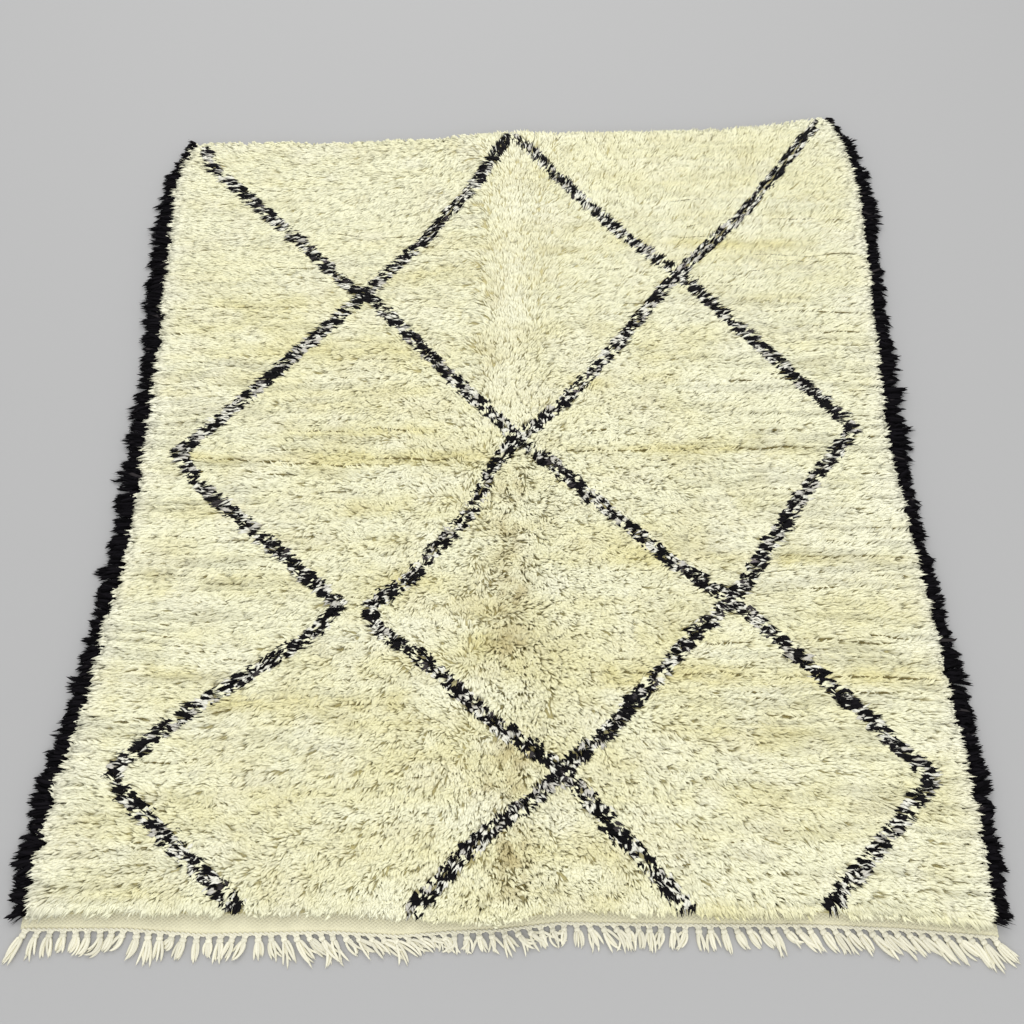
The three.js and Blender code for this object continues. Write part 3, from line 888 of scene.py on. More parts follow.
fall_x, fall_y, unruly = falls(knot_x, knot_y, random)
knot_y += tied_in(knot_x, knot_y, fall_y)
knot_top = pile_top(knot_x, knot_y) * random.uniform(*TOP_CHANCE, knots)
print("knots in the cream field:", knots)

# %% [markdown]
# ## The colours of the cream wool
#
# No two balls of hand-spun wool are alike. Broad, middling and small noise are added up, so that yellow
# comes in stretches along the rows, and the listed streaks and spots lie over it. Wool at the side rim is
# drawn towards white, and the far ridge is drawn paler as a painted highlight, where it stands up to the
# light.

# %% Colours of the field
# How broad and how long the patches of each noise are.
BROAD_SIZE, PATCH_SIZE, SMALL_SIZE = (0.34, 0.030), (0.13, 0.09), (0.030, 0.014)
CLUMP_SIZE, SUNNED_SIZE, BLEACHED_SIZE = (0.012, 0.013), (0.050, 0.036), (0.060, 0.042)
FAR_RIDGE_HALF_WIDTH, PALE_RIM_REACH = 0.045, 0.022


def field_wool(x, y):
    """The wool's colour at each point of the field: cream, drawn towards yellow by streaks and by soft
    noise, towards tan in the open spots of the fold, and towards white at the rim."""
    along = y - ORIGIN[1]
    tan, yellow = spotted(x, along)
    yellow = np.maximum(yellow, streaked(x, y))
    broad = smooth_noise(x, y, *BROAD_SIZE, 31)
    patch = smooth_noise(x, y, *PATCH_SIZE, 32)
    small = smooth_noise(x, y, *SMALL_SIZE, 33)
    tone = np.clip(0.8 * broad + 0.6 * patch + 0.5 * small - 0.72, 0, 1) * (1 - 0.35 * far_third(along))
    wool = blend(CREAM, YELLOW_CREAM, np.clip(0.85 * tone + yellow * (0.6 + 0.5 * small), 0, 1))
    clumps = 0.25 + 0.75 * ease(smooth_noise(x, y, *CLUMP_SIZE, 34), 0.35, 0.65)
    sunned = 0.13 * ease(smooth_noise(x, y, *SUNNED_SIZE, 36), 0.55, 0.85)
    wool = blend(wool, TAN, np.clip(tan * clumps + 0.22 * yellow * small + sunned, 0, 1))
    # The far ridge is drawn paler: a painted highlight.
    lit_far_ridge = bell(x - FOLD, FAR_RIDGE_HALF_WIDTH) * ease(along, *FAR_FOLD)
    bleached = 0.22 * ease(smooth_noise(x, y, *BLEACHED_SIZE, 35), 0.55, 0.85)
    wool = blend(wool, PALE, np.maximum(bleached, 0.25 * lit_far_ridge))
    return blend(wool, PALE, 0.50 * np.exp(-side_distance(x, y) / PALE_RIM_REACH))


# %% [markdown]
# ## The knots of the lattice
#
# A dark line is two knots wide. Black and pale knots take turns along it, and the two columns are out of
# step, so the line is speckled. Here and there the dark wool clumps, and where the weaver ran short of
# it, pale wool fills in. The field's own knots are left out where the line runs. The wool leans, so a
# line is seen beside the knots that make it, and they are tied that much to the other side.

# %% Knots of the lattice
FIELD_STRANDS = 9
LINE_STRANDS = 8
LINE_STEP = 0.0075
LINE_WANDER = 0.0014
COLUMN_OFFSET = 0.0070
BAND_HALF_WIDTH = 0.0127
SEEN_SHARE = 0.62
FAR_ROWS = 0.012
RIM_ROWS = 0.001
CLUMP_RUN = 0.050
CLUMP_SHARE, GAP_SHARE = (0.21, 0.40), 0.14
CLUMPS_ABOVE, GAPS_BELOW = (0.55, 0.95), (0.12, 0.38)
PALE_SHARES = (0.45, 0.70, 0.71)
BROWN, BROWN_SHARE = 0.25 * MAUVE, 0.04
COAL_CHANCE, LINE_TOP_CHANCE = (0.6, 1.8), (0.96, 1.07)
# How far the strands of a dark knot and of a pale one spread, next to those of a field knot.
DARK_SPREAD, PALE_SPREAD = 0.33, 0.26


def line_knots():
    """Places down the lines: at even steps along each line, one place to each side of it. Also gives
    the number of the step, the side, and the run along all the lines so far."""
    parts = []
    length = 0.0
    for line in LATTICE:
        corners = np.array(line) + ORIGIN
        steps = np.diff(corners, axis=0)
        sizes = np.hypot(steps[:, 0], steps[:, 1])
        reached = np.concatenate([[0], np.cumsum(sizes)])
        run = np.arange(LINE_STEP / 2, reached[-1], LINE_STEP)
        middle = np.stack([np.interp(run, reached, corners[:, axis]) for axis in (0, 1)], 1)
        part = np.clip(np.searchsorted(reached, run) - 1, 0, len(steps) - 1)
        square = np.stack([-steps[part, 1], steps[part, 0]], 1) / sizes[part][:, None]
        for side in (-1, 1):
            places = middle + side * COLUMN_OFFSET * square
            parts.append((places, np.arange(len(run)), np.full(len(run), side), length + run))
        length += reached[-1]
    return [np.concatenate(column) for column in zip(*parts)]


line_place, step_number, line_column, line_run = line_knots()
line_count = len(line_place)
line_place += random.normal(0, LINE_WANDER, line_place.shape)
line_x, line_y = line_place.T
on_field = rim_distance(line_x, line_y) > RIM_ROWS
line_fall_x, line_fall_y, line_unruly = falls(line_x, line_y, random)
line_x = line_x - SEEN_SHARE * line_fall_x
line_y = line_y - SEEN_SHARE * line_fall_y
line_y += tied_in(line_x, line_y, line_fall_y)

plenty = line_noise(line_run, CLUMP_RUN, 42)
clumped = CLUMP_SHARE[0] + CLUMP_SHARE[1] * ease(plenty, *CLUMPS_ABOVE)
ran_short = GAP_SHARE * (1 - ease(plenty, *GAPS_BELOW))
dark = (step_number + (line_column > 0)) % 2 == 0
dark = dark | (clumped > random.random(line_count))
dark = dark & ~(ran_short > random.random(line_count))
pick = random.random(line_count)[:, None]
pale = np.select([pick < share for share in PALE_SHARES], [WHITE, GREY, MAUVE], CREAM)
coal = BLACK * random.uniform(*COAL_CHANCE, line_count)[:, None]
coal = np.where(random.random(line_count)[:, None] < BROWN_SHARE, BROWN, coal)
line_wool = np.where(dark[:, None], coal, pale)

off_line = line_distance(knot_x + SEEN_SHARE * fall_x, knot_y + SEEN_SHARE * fall_y) > BAND_HALF_WIDTH
kept = off_line | (at(FIELD_END, knot_x) - knot_y < FAR_ROWS)
print("knots in the lattice:", int(on_field.sum()), "of them dark:", int(dark.sum()))


def joined(field, line):
    """The field's knots that are kept, then the lines' knots that lie on the field."""
    return np.concatenate([field[kept], line[on_field]])


def along_share(x, y):
    """The share of the way from the field's start to its far end."""
    return (y - ORIGIN[1]) / (at(FIELD_END, x) - ORIGIN[1])


line_top = pile_top(line_x, line_y) * random.uniform(*LINE_TOP_CHANCE, line_count)
spread = joined(np.full(knots, 1.0), np.where(dark, DARK_SPREAD, PALE_SPREAD))
strands_of = joined(np.full(knots, FIELD_STRANDS), np.full(line_count, LINE_STRANDS))
knot_v = joined(knot_v, along_share(line_x, line_y))
is_black = joined(np.zeros(knots, bool), dark)
is_line = joined(np.zeros(knots, bool), np.ones(line_count, bool))
line_wool = joined(np.zeros((knots, 3)), line_wool)
knot_tone = joined(random.uniform(*TONE_CHANCE, knots), np.ones(line_count))
unruly = joined(unruly, line_unruly)
knot_top = joined(knot_top, line_top)
fall_x, fall_y = joined(fall_x, line_fall_x), joined(fall_y, line_fall_y)
knot_x, knot_y = joined(knot_x, line_x), joined(knot_y, line_y)

# %% [markdown]
# ## The strands of the field
#
# Each strand starts in the bed, rises to a crest and falls to its tip. The crest and the tip are drawn
# towards the middle of their row and pushed off the partings beside them. Lower down the wool is in
# shadow, so a strand's root is darker than the rest of it.

# %% Strands of the field
KNOT_SPREAD = 0.0060
STRAND_WIDTH = (0.0028, 0.0039)
ROOT_SUNK = 0.002
TIP_DROP = 0.0018
CREST_SHARE, CURLY_CREST = 0.56, 0.10
CREST_CHANCE, TURN_CHANCE = 0.08, 0.4
CALM_CURL, CURLY_CURL = 0.04, 0.10
SIDE_CHANCE, STRAY = 0.35, 0.15
STRETCH, STRAND_TOP = (0.84, 1.12), (0.95, 1.03)
DRAWN_TOGETHER = 0.9
FAR_SLIMMER, ROW_SHADE = 0.20, 0.20
STRAYED_IN_BLACK, STRAYED_IN_PALE = 0.07, 0.18
STRAYED_WHITE = 0.86 * WHITE


def of_knots(each):
    """For several strands to a knot: which knot each belongs to, its root and its tip. Roots are
    spread over the knot, side by side square to its fall; tips fall with the knot's own fall, turned
    and stretched a little, and draw somewhat together."""
    owner = np.repeat(np.arange(len(each)), each)
    count = len(owner)
    first = np.cumsum(each) - each
    order = (np.arange(count) - first[owner] - (each[owner] - 1) / 2) * 2 / each[owner]
    way = np.hypot(fall_x, fall_y)[owner] + LEAST_LENGTH
    way_x, way_y = fall_x[owner] / way, fall_y[owner] / way
    sideways = KNOT_SPREAD * spread[owner] * (order + random.uniform(-SIDE_CHANCE, SIDE_CHANCE, count))
    forward = KNOT_SPREAD * spread[owner] * random.uniform(-1, 1, count)
    off_x, off_y = forward * way_x - sideways * way_y, forward * way_y + sideways * way_x
    stray = STRAY * (0.5 + unruly[owner]) * random.normal(0, 1, count)
    stretch = random.uniform(*STRETCH, count)
    go_x = stretch * (fall_x[owner] * np.cos(stray) - fall_y[owner] * np.sin(stray))
    go_y = stretch * (fall_x[owner] * np.sin(stray) + fall_y[owner] * np.cos(stray))
    root_x, root_y = knot_x[owner] + off_x, knot_y[owner] + off_y
    root = np.column_stack([root_x, root_y, bed_height(root_x, root_y) - ROOT_SUNK])
    top = knot_top[owner] * random.uniform(*STRAND_TOP, count)
    tip_x = knot_x[owner] + DRAWN_TOGETHER * off_x + go_x
    tip_y = knot_y[owner] + DRAWN_TOGETHER * off_y + go_y
    return owner, root, np.column_stack([tip_x, tip_y, top])


owner, root, tip = of_knots(strands_of)
count = len(owner)
aside = np.column_stack([root[:, 1] - tip[:, 1], tip[:, 0] - root[:, 0], np.zeros(count)])
curl = (CALM_CURL + CURLY_CURL * unruly[owner]) * random.normal(0, 1, count)
crest_share = CREST_SHARE + CURLY_CREST * unruly[owner] + random.uniform(-CREST_CHANCE, CREST_CHANCE, count)
crest = root + (tip - root) * crest_share[:, None] + curl[:, None] * aside
crest[:, 2] = tip[:, 2]
tip[:, 2] -= TIP_DROP
crest_pull, between = rowed(crest[:, 0], crest[:, 1])
crest[:, 1] += crest_pull
tip[:, 1] += rowed(tip[:, 0], tip[:, 1])[0]
crest[:, 1] += parted(crest[:, 0], crest[:, 1])
tip[:, 1] += parted(tip[:, 0], tip[:, 1])
width = random.uniform(*STRAND_WIDTH, count) * (1 - FAR_SLIMMER * far_third(crest[:, 1] - ORIGIN[1]))
strand_points = leaves(root, crest, tip, width, random.normal(0, TURN_CHANCE, count))

black, on_line = is_black[owner], is_line[owner]
# Strands that lie between two rows are darkened: painted shade.
strand_tone = knot_tone[owner] * (1 - ROW_SHADE * between)
strand_wool = field_wool(crest[:, 0], crest[:, 1]) * strand_tone[:, None]
strand_wool = np.where(on_line[:, None], line_wool[owner], strand_wool)
strayed = on_line & (random.random(count) < np.where(black, STRAYED_IN_BLACK, STRAYED_IN_PALE))
strand_wool = np.where(strayed[:, None], np.where(black[:, None], STRAYED_WHITE, BLACK), strand_wool)
strand_wool = strand_wool * random.uniform(*TONE_CHANCE, count)[:, None]
rooted = strand_wool * np.where(black[:, None], 1.0, SHADOW)
strand_colours = np.stack([rooted, strand_wool, strand_wool, strand_wool], 1)

# %% [markdown]
# ## Filling of bare places
#
# Strands fall as they will, so here and there a gap is left that a dense pile doesn't have. The field is
# laid out in small square cells, and each cell over which no strand passes gets two more strands, a
# little lower than the rest. On a dark line they are mostly black.

# %% Filling of bare places
CELL = 0.0047
SEEN_AT = (0.40, 0.58, 0.76, 0.92)
FILL_STRANDS = 2
FILL_WANDER, FILL_CHANCE = 0.25 * CELL, 0.003
FILL_REACH, FILL_HEIGHT, FILL_TONE = (0.015, 0.021), (0.86, 0.94), (0.93, 0.99)
ROOT_BEHIND, TIP_AHEAD = 0.60, 0.40
FILL_BLACK_SHARE, FILL_WHITE = 0.7, 0.8 * WHITE


def bare_places(x, y):
    """Centres of the cells of a square grid over the field in which none of the points lies."""
    low_x, low_y = FIELD_LEFT[1].min(), FIELD_START[1].min()
    columns = math.ceil((FIELD_RIGHT[1].max() - low_x) / CELL)
    rows = math.ceil((FIELD_END[1].max() - low_y) / CELL)
    taken = np.zeros((rows, columns), bool)
    row = np.clip((y - low_y) / CELL, 0, rows - 1).astype(int)
    taken[row, np.clip((x - low_x) / CELL, 0, columns - 1).astype(int)] = True
    row, column = np.nonzero(~taken)
    bare_x, bare_y = low_x + (column + 0.5) * CELL, low_y + (row + 0.5) * CELL
    inside = rim_distance(bare_x, bare_y) > 0.5 * CELL
    return bare_x[inside], bare_y[inside]


passed = np.concatenate([root + share * (tip - root) for share in SEEN_AT] + [crest])
bare_x, bare_y = bare_places(passed[:, 0], passed[:, 1])
fills = FILL_STRANDS * len(bare_x)
bare_x = np.repeat(bare_x, FILL_STRANDS) + random.normal(0, FILL_WANDER, fills)
bare_y = np.repeat(bare_y, FILL_STRANDS) + random.normal(0, FILL_WANDER, fills)
fill_way = np.stack(lean(bare_x, bare_y), 1) * random.uniform(*FILL_REACH, fills)[:, None]
fill_way += random.normal(0, FILL_CHANCE, fill_way.shape)
bare = np.stack([bare_x, bare_y], 1)
fill_root, fill_tip = bare - ROOT_BEHIND * fill_way, bare + TIP_AHEAD * fill_way
fill_height = pile_top(bare_x, bare_y) * random.uniform(*FILL_HEIGHT, fills)
fill_points = leaves(
    np.column_stack([fill_root, bed_height(*fill_root.T) - ROOT_SUNK]),
    np.column_stack([bare, fill_height]),
    np.column_stack([fill_tip, fill_height - TIP_DROP]),
    random.uniform(*STRAND_WIDTH, fills),
    random.normal(0, TURN_CHANCE, fills),
)
fill_wool = field_wool(bare_x, bare_y) * random.uniform(*FILL_TONE, fills)[:, None]
line_tone = np.where(random.random(fills)[:, None] < FILL_BLACK_SHARE, BLACK, FILL_WHITE)
fill_on_line = line_distance(bare_x, bare_y) < BAND_HALF_WIDTH
fill_wool = np.where(fill_on_line[:, None], line_tone, fill_wool)
print("strands that fill bare places:", fills)

# %% [markdown]
# ## The wool in the partings
#
# Where two rows part, the eye reaches the lower wool between them, which lies in its own shade. That
# shade is painted: it is laid in as thin dark strands, end over end, a little below the two sides. Only
# the strongest partings show it all along. The others come and go.

# %% Wool that shows in the partings
DEEP_STEP, DEEP_WANDER = 0.006, 0.002
DEEP_LENGTH = 0.017
DEEP_WIDTH, DEEP_CHANCE, DEEP_TONE = (0.0014, 0.0030), (0.7, 1.2), (0.75, 1.25)
DEEP_MIDDLE = 0.55
BREAK_RUN = 0.020
RIM_CLEAR, LINE_CLEAR = 0.012, 0.016
DEEP_ROOT, DEEP_CREST, DEEP_TIP = 0.30, 0.78, 0.70


def deep_strands(draw):
    """Thin strands laid end over end along each parting, a little below its two sides: their roots,
    tips and widths. They are widest at the middle of the parting."""
    parts = []
    for k, (_, start, stop, strength, _) in enumerate(PARTINGS):
        x = np.arange(start, stop, DEEP_STEP)
        x += draw.uniform(-DEEP_WANDER, DEEP_WANDER, len(x))
        y = parting_line(k, x)
        far_x = x + np.sign(0.5 * (start + stop)) * min(DEEP_LENGTH, 0.8 * (stop - start))
        ends = ease(2 * np.minimum(x - start, stop - x) / (stop - start), -0.3, 0.7)
        whole = 0.10 + 0.55 * ease(strength, 0.7, 1.0)
        broken = whole + (1 - whole) * ease(line_noise(x, BREAK_RUN, 78, 5.3 * k), 0.30, 0.65)
        wide = (DEEP_WIDTH[0] + DEEP_WIDTH[1] * strength) * ends * broken
        wide = wide * draw.uniform(*DEEP_CHANCE, len(x))
        clear = (rim_distance(x, y) > RIM_CLEAR) & (line_distance(x, y) > LINE_CLEAR)
        parts.append([part[clear] for part in (x, y, far_x, parting_line(k, far_x), wide)])
    x, y, far_x, far_y, wide = (np.concatenate(column) for column in zip(*parts))
    return np.stack([x, y], 1), np.stack([far_x, far_y], 1), wide


def lifted(points, share):
    """Points given the height that lies a share of the way from the bed to the pile's top."""
    low, high = bed_height(points[:, 0], points[:, 1]), pile_top(points[:, 0], points[:, 1])
    return np.column_stack([points, low + share * (high - low)])


deep_root, deep_tip, deep_width = deep_strands(random)
deep_crest = (1 - DEEP_MIDDLE) * deep_root + DEEP_MIDDLE * deep_tip
deep_points = leaves(
    lifted(deep_root, DEEP_ROOT),
    lifted(deep_crest, DEEP_CREST),
    lifted(deep_tip, DEEP_TIP),
    deep_width,
    np.zeros(len(deep_width)),
)
# The strands in the partings are coloured dark, as painted shade.
deep_shade = PARTING_SHADE * random.uniform(*DEEP_TONE, len(deep_width))[:, None]
print("strands in the partings:", len(deep_width))

# %% [markdown]
# ## The cream pile in five bands
#
# All the strands are joined in five bands from the near end to the far end, each a single piece, so that
# no piece is too heavy to handle.

# %% Bands of the field
FIELD_BANDS = 5


def band_of(share):
    """The number of the band that holds each share of the way along."""
    return np.clip((share * FIELD_BANDS).astype(int), 0, FIELD_BANDS - 1)


groups = [
    (band_of(knot_v)[owner], strand_points, strand_colours),
    (band_of(along_share(*deep_crest.T)), deep_points, all_corners(deep_shade, 4)),
    (band_of(along_share(bare_x, bare_y)), fill_points, all_corners(fill_wool, 4)),
]
pile_pieces = []
for band in range(FIELD_BANDS):
    sets = [(points[of == band], LEAF, LEAF_MAP, wool[of == band]) for of, points, wool in groups]
    piece = many(f"pile_band_{band + 1}", sets, cream_wool)
    pile_pieces.append(piece)
    print(piece.name, "triangles:", len(piece.data.polygons))

# %% [markdown]
# ## The black edging
#
# Along each side the weaver ties long black wool, which falls outwards over the edge of the ground to the
# floor. Its strands draw into pointed locks, so the outline is jagged.

# %% Black edging
EDGING_ROWS, EDGING_KNOTS = 4, 150
# Of a lock's strands and of its finer fibres: how many, their least reach, how far their tips spread,
# and how high their roots are.
STRANDS = (4, 0.76, 0.0024, 0.006)
FIBRES = (5, 0.70, 0.0040, 0.012)
END_INSET = 0.004
REACH, REACH_BY_ROW, REACH_BY_WAVE, REACH_BY_CHANCE = 0.72, 0.38, 0.45, 0.34
WAVE_SIZE, SWEEP_SIZE = 0.012, 0.028
SWEEP, SWEEP_CHANCE = 0.030, 0.005
CORNER_SWEEP, CORNER_RUN = 0.007, 0.05
ROOT_ACROSS, ROOT_ALONG = 0.003, 0.006
TIP_HEIGHT, TIP_FALL, TIP_CHANCE, TIP_LIMITS = 0.018, 0.017, 0.002, (0.0015, 0.019)
BEND_SHARE, BEND_HEIGHT, BEND_FALL, BEND_CHANCE = 0.36, 0.0185, 0.008, 0.001
SHOULDER_SHARE, SHOULDER_CHANCE, SHOULDER_WIDTH = 0.65, 0.0012, 0.75
STRAND_THICK, FIBRE_THICK = (0.0052, 0.0076), (0.0034, 0.0050)
EDGING_TURN, EDGING_TONE = 0.5, (0.5, 2.2)
HAIR, HAIR_SHARE = 0.18 * MAUVE, 0.012


def edging(name, field_line, tip_line, proud, seed):
    """Rows of knots from the field's edge outwards, each a lock of strands drawn to a point. Inner rows
    lie high and reach part of the way, outer rows lie low and reach the edge's tip line."""
    draw = np.random.default_rng(seed)
    row, knot = (grid.ravel() for grid in np.meshgrid(np.arange(EDGING_ROWS), np.arange(EDGING_KNOTS)))
    locks = len(row)
    share = (knot + 0.5 + 0.5 * (row % 2) + draw.uniform(-0.35, 0.35, locks)) / (EDGING_KNOTS + 0.5)
    low, high = field_line[0][0] - CORNER_TRIM, field_line[0][-1] + CORNER_TRIM
    y = low + END_INSET + np.clip(share, 0, 1) * (high - low - END_INSET)
    field, tip = at(field_line, y), at(tip_line, y)
    outward = np.sign(field)
    width = np.abs(tip - field)
    depth = (row + draw.uniform(0.2, 0.8, locks)) / EDGING_ROWS
    x = field + outward * width * (0.40 * depth - 0.12)
    wave = smooth_noise(0 * y, y, 1.0, WAVE_SIZE, seed + 1) - 0.5
    reach = REACH + REACH_BY_ROW * depth + REACH_BY_WAVE * wave + REACH_BY_CHANCE * draw.random(locks) ** 3
    far = width * reach + proud
    sweep = SWEEP * (smooth_noise(0 * y, y, 1.0, SWEEP_SIZE, seed + 2) - 0.5)
    sweep += draw.normal(0, SWEEP_CHANCE, locks)
    sweep -= CORNER_SWEEP * np.exp(-(y - low) / CORNER_RUN)

    def lock(each, low_share, spread, root_height):
        """Roots and tips of the strands of each lock, and which lock each belongs to."""
        owner = np.repeat(np.arange(locks), each)
        count = len(owner)
        root_x = x[owner] + draw.normal(0, ROOT_ACROSS, count)
        root_y = y[owner] + draw.uniform(-ROOT_ALONG, ROOT_ALONG, count)
        tip_x = field[owner] + outward[owner] * far[owner] * draw.uniform(low_share, 1.02, count)
        tip_y = y[owner] + sweep[owner] + draw.normal(0, spread, count)
        tip_z = TIP_HEIGHT - TIP_FALL * depth[owner] + draw.normal(0, TIP_CHANCE, count)
        root = np.column_stack([root_x, root_y, np.full(count, root_height)])
        return owner, root, np.column_stack([tip_x, tip_y, np.clip(tip_z, *TIP_LIMITS)])

    def dyed(points):
        """Nearly black wool, a little different from strand to strand, with a few brown hairs."""
        count, corners = points.shape[:2]
        shade = BLACK * draw.uniform(*EDGING_TONE, count)[:, None]
        shade = np.where((draw.random(count) < HAIR_SHARE)[:, None], HAIR, shade)
        return all_corners(shade, corners)

    owner, root, tip = lock(*STRANDS)
    bend = root + BEND_SHARE * (tip - root)
    bend[:, 2] = BEND_HEIGHT - BEND_FALL * depth[owner] + draw.normal(0, BEND_CHANCE, len(owner))
    shoulder = (1 - SHOULDER_SHARE) * bend + SHOULDER_SHARE * tip
    shoulder = shoulder + draw.normal(0, SHOULDER_CHANCE, bend.shape)
    thick = draw.uniform(*STRAND_THICK, len(owner))
    turn = draw.normal(0, EDGING_TURN, len(owner))
    strands = spindles(root, bend, shoulder, tip, thick, SHOULDER_WIDTH * thick, turn)
    owner, root, tip = lock(*FIBRES)
    thin = draw.uniform(*FIBRE_THICK, len(owner))
    fibres = spikes(root, tip, thin, draw.uniform(0, 2 * math.pi, len(owner)))
    sets = [(strands, SPINDLE, SPINDLE_MAP, dyed(strands)), (fibres, SPIKE, SPIKE_MAP, dyed(fibres))]
    return many(name, sets, black_wool)


edging_left = edging("edging_tufts_left", FIELD_LEFT, TIPS_LEFT, proud=0.0060, seed=51)
edging_right = edging("edging_tufts_right", FIELD_RIGHT, TIPS_RIGHT, proud=0.0085, seed=61)
print("edging triangles:", len(edging_left.data.polygons), len(edging_right.data.polygons))

# %% [markdown]
# ## The ground cloth and the bed of the pile
#
# The ground is a firm flat weave of wool. It shows as a plain band at the near end and underneath. Above
# it, the tightly packed lower part of the pile is a low closed body of wool in shade, so that no light
# comes through between the strands.

# %% Slab helpers
def grid_faces(rows, columns):
    """Two triangles for each cell of a grid whose points run along its rows."""
    i, j = np.meshgrid(np.arange(columns - 1), np.arange(rows - 1))
    a = (j * columns + i).ravel()
    lower = np.stack([a, a + 1, a + columns + 1], 1)
    upper = np.stack([a, a + columns + 1, a + columns], 1)
    return np.concatenate([lower, upper])


def closed_slab(top, bottom, rows, columns):
    """Points and faces of a slab between two grids of points, with its rim closed."""
    count = rows * columns
    index = np.arange(count).reshape(rows, columns)
    rim = np.concatenate([index[0, :-1], index[:-1, -1], index[-1, :0:-1], index[:0:-1, 0]])
    after = np.roll(rim, -1)
    wall = np.concatenate([
        np.stack([rim, rim + count, after + count], 1),
        np.stack([rim, after + count, after], 1),
    ])
    faces = np.concatenate([grid_faces(rows, columns), grid_faces(rows, columns)[:, ::-1] + count, wall])
    return np.concatenate([top, bottom]), faces


def sheet_grid(u, v, edges):
    """The places of a grid of shares, as flat arrays, row by row."""
    uu, vv = np.meshgrid(u, v)
    return place(uu.ravel(), vv.ravel(), edges)


# %% [markdown]
# ## The bed of the pile
#
# The bed has the field's own outline, and its top follows the pile's. It takes the colours of the wool
# above it, darkened as painted shade, because it stands for the same wool lying lower down in shade.

# %% Pile bed
BED_COLUMNS, BED_ROWS = 64, 76
BED_EDGE = 0.002
BED_SHADE = np.array([0.64, 0.59, 0.43])
bed_u, bed_v = (np.linspace(BED_EDGE, 1 - BED_EDGE, steps) for steps in (BED_COLUMNS, BED_ROWS))
bed_x, bed_y = sheet_grid(bed_u, bed_v, FIELD)
bed_top = np.column_stack([bed_x, bed_y, bed_height(bed_x, bed_y)])
bed_base = np.column_stack([bed_x, bed_y, np.full(len(bed_x), BED_LOW)])
bed = mesh_object("pile_bed", *closed_slab(bed_top, bed_base, BED_ROWS, BED_COLUMNS), cream_wool)
# The bed's colour is the wool's own, darkened with painted shade.
paint(bed, np.tile(BED_SHADE * field_wool(bed_x, bed_y), (2, 1)))

# %% [markdown]
# ## The ground cloth
#
# The warps run the length of the rug and the wefts across it, closely beaten, so the cloth is stiff and
# lies flat. It reaches from the band at the near end to a narrow woven rim at the far end. The grid's
# rows are closest at the near end, where the cloth shows and its edge wanders.

# %% Ground cloth
CLOTH_COLUMNS, CLOTH_ROWS = 72, 30
NEAR_CROWDING = 1.6
CLOTH_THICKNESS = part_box("ground_weave")[1].z
GROUND_WOOL = np.array([0.83, 0.79, 0.56])
cloth_v = np.linspace(0, 1, CLOTH_ROWS) ** NEAR_CROWDING
cloth_x, cloth_y = sheet_grid(np.linspace(0, 1, CLOTH_COLUMNS), cloth_v, CLOTH)
cloth_top = np.column_stack([cloth_x, cloth_y, np.full(len(cloth_x), CLOTH_THICKNESS)])
cloth_base = np.column_stack([cloth_x, cloth_y, np.zeros(len(cloth_x))])
cloth_slab = closed_slab(cloth_top, cloth_base, CLOTH_ROWS, CLOTH_COLUMNS)
cloth = mesh_object("ground_cloth", *cloth_slab, ground_wool)
paint(cloth, np.tile(GROUND_WOOL, (len(cloth.data.vertices), 1)))

# %% [markdown]
# ## The fringe
#
# The warps that are left over when the rug leaves the loom are knotted in small bunches. Three warps draw
# together from the band to each knot, and below it their plies open into a tassel. How the tassels lie
# changes along the edge.

# %% Fringe
# across, lean, length, further turn, looseness (metres and degrees; a lean is towards +X)
FRINGE_LIE = np.array([
    (-0.745, -36, 0.054, -8, 8),
    (-0.715, -6, 0.042, 30, 12),
    (-0.690, 12, 0.040, -45, 12),
    (-0.632, 10, 0.044, -75, 8),
    (-0.603, -20, 0.036, -30, 8),
    (-0.576, 16, 0.052, -60, 6),
    (-0.554, -2, 0.052, -14, 6),
    (-0.523, -10, 0.028, -20, 8),
    (-0.500, 2, 0.040, -6, 8),
    (-0.465, 2, 0.036, 0, 8),
    (-0.430, -18, 0.044, -4, 10),
    (-0.395, 0, 0.040, -6, 12),
    (-0.360, 30, 0.050, 6, 14),
    (-0.310, 42, 0.062, 0, 14),
    (-0.270, 20, 0.044, 20, 30),
    (-0.230, 58, 0.048, -4, 16),
    (-0.180, 62, 0.050, -50, 20),
    (-0.125, 76, 0.032, -10, 28),
    (-0.085, 6, 0.034, -12, 34),
    (-0.040, 10, 0.036, -10, 26),
    (-0.010, 26, 0.042, -10, 18),
    (0.020, 48, 0.040, -6, 26),
    (0.060, 10, 0.036, 30, 40),
    (0.090, 4, 0.038, 0, 14),
    (0.120, 32, 0.042, 0, 14),
    (0.150, 54, 0.050, -12, 16),
    (0.180, 30, 0.040, -50, 26),
    (0.210, 2, 0.038, 0, 12),
    (0.260, -4, 0.036, -6, 10),
    (0.300, 8, 0.044, 4, 12),
    (0.350, 32, 0.044, 6, 10),
    (0.430, 24, 0.044, 8, 12),
    (0.560, 32, 0.050, 10, 8),
    (0.735, 36, 0.058, 12, 8),
])
TASSEL_PITCH = 0.0188
YARN = np.array([0.82, 0.79, 0.63])
YARN_TONE = (0.88, 1.08)
TUBE_SIDES = 4
TUBE_CAP = 0.08


def lie(column, across):
    """A column of the fringe table at any place along the edge."""
    return np.interp(across, FRINGE_LIE[:, 0], FRINGE_LIE[:, column])


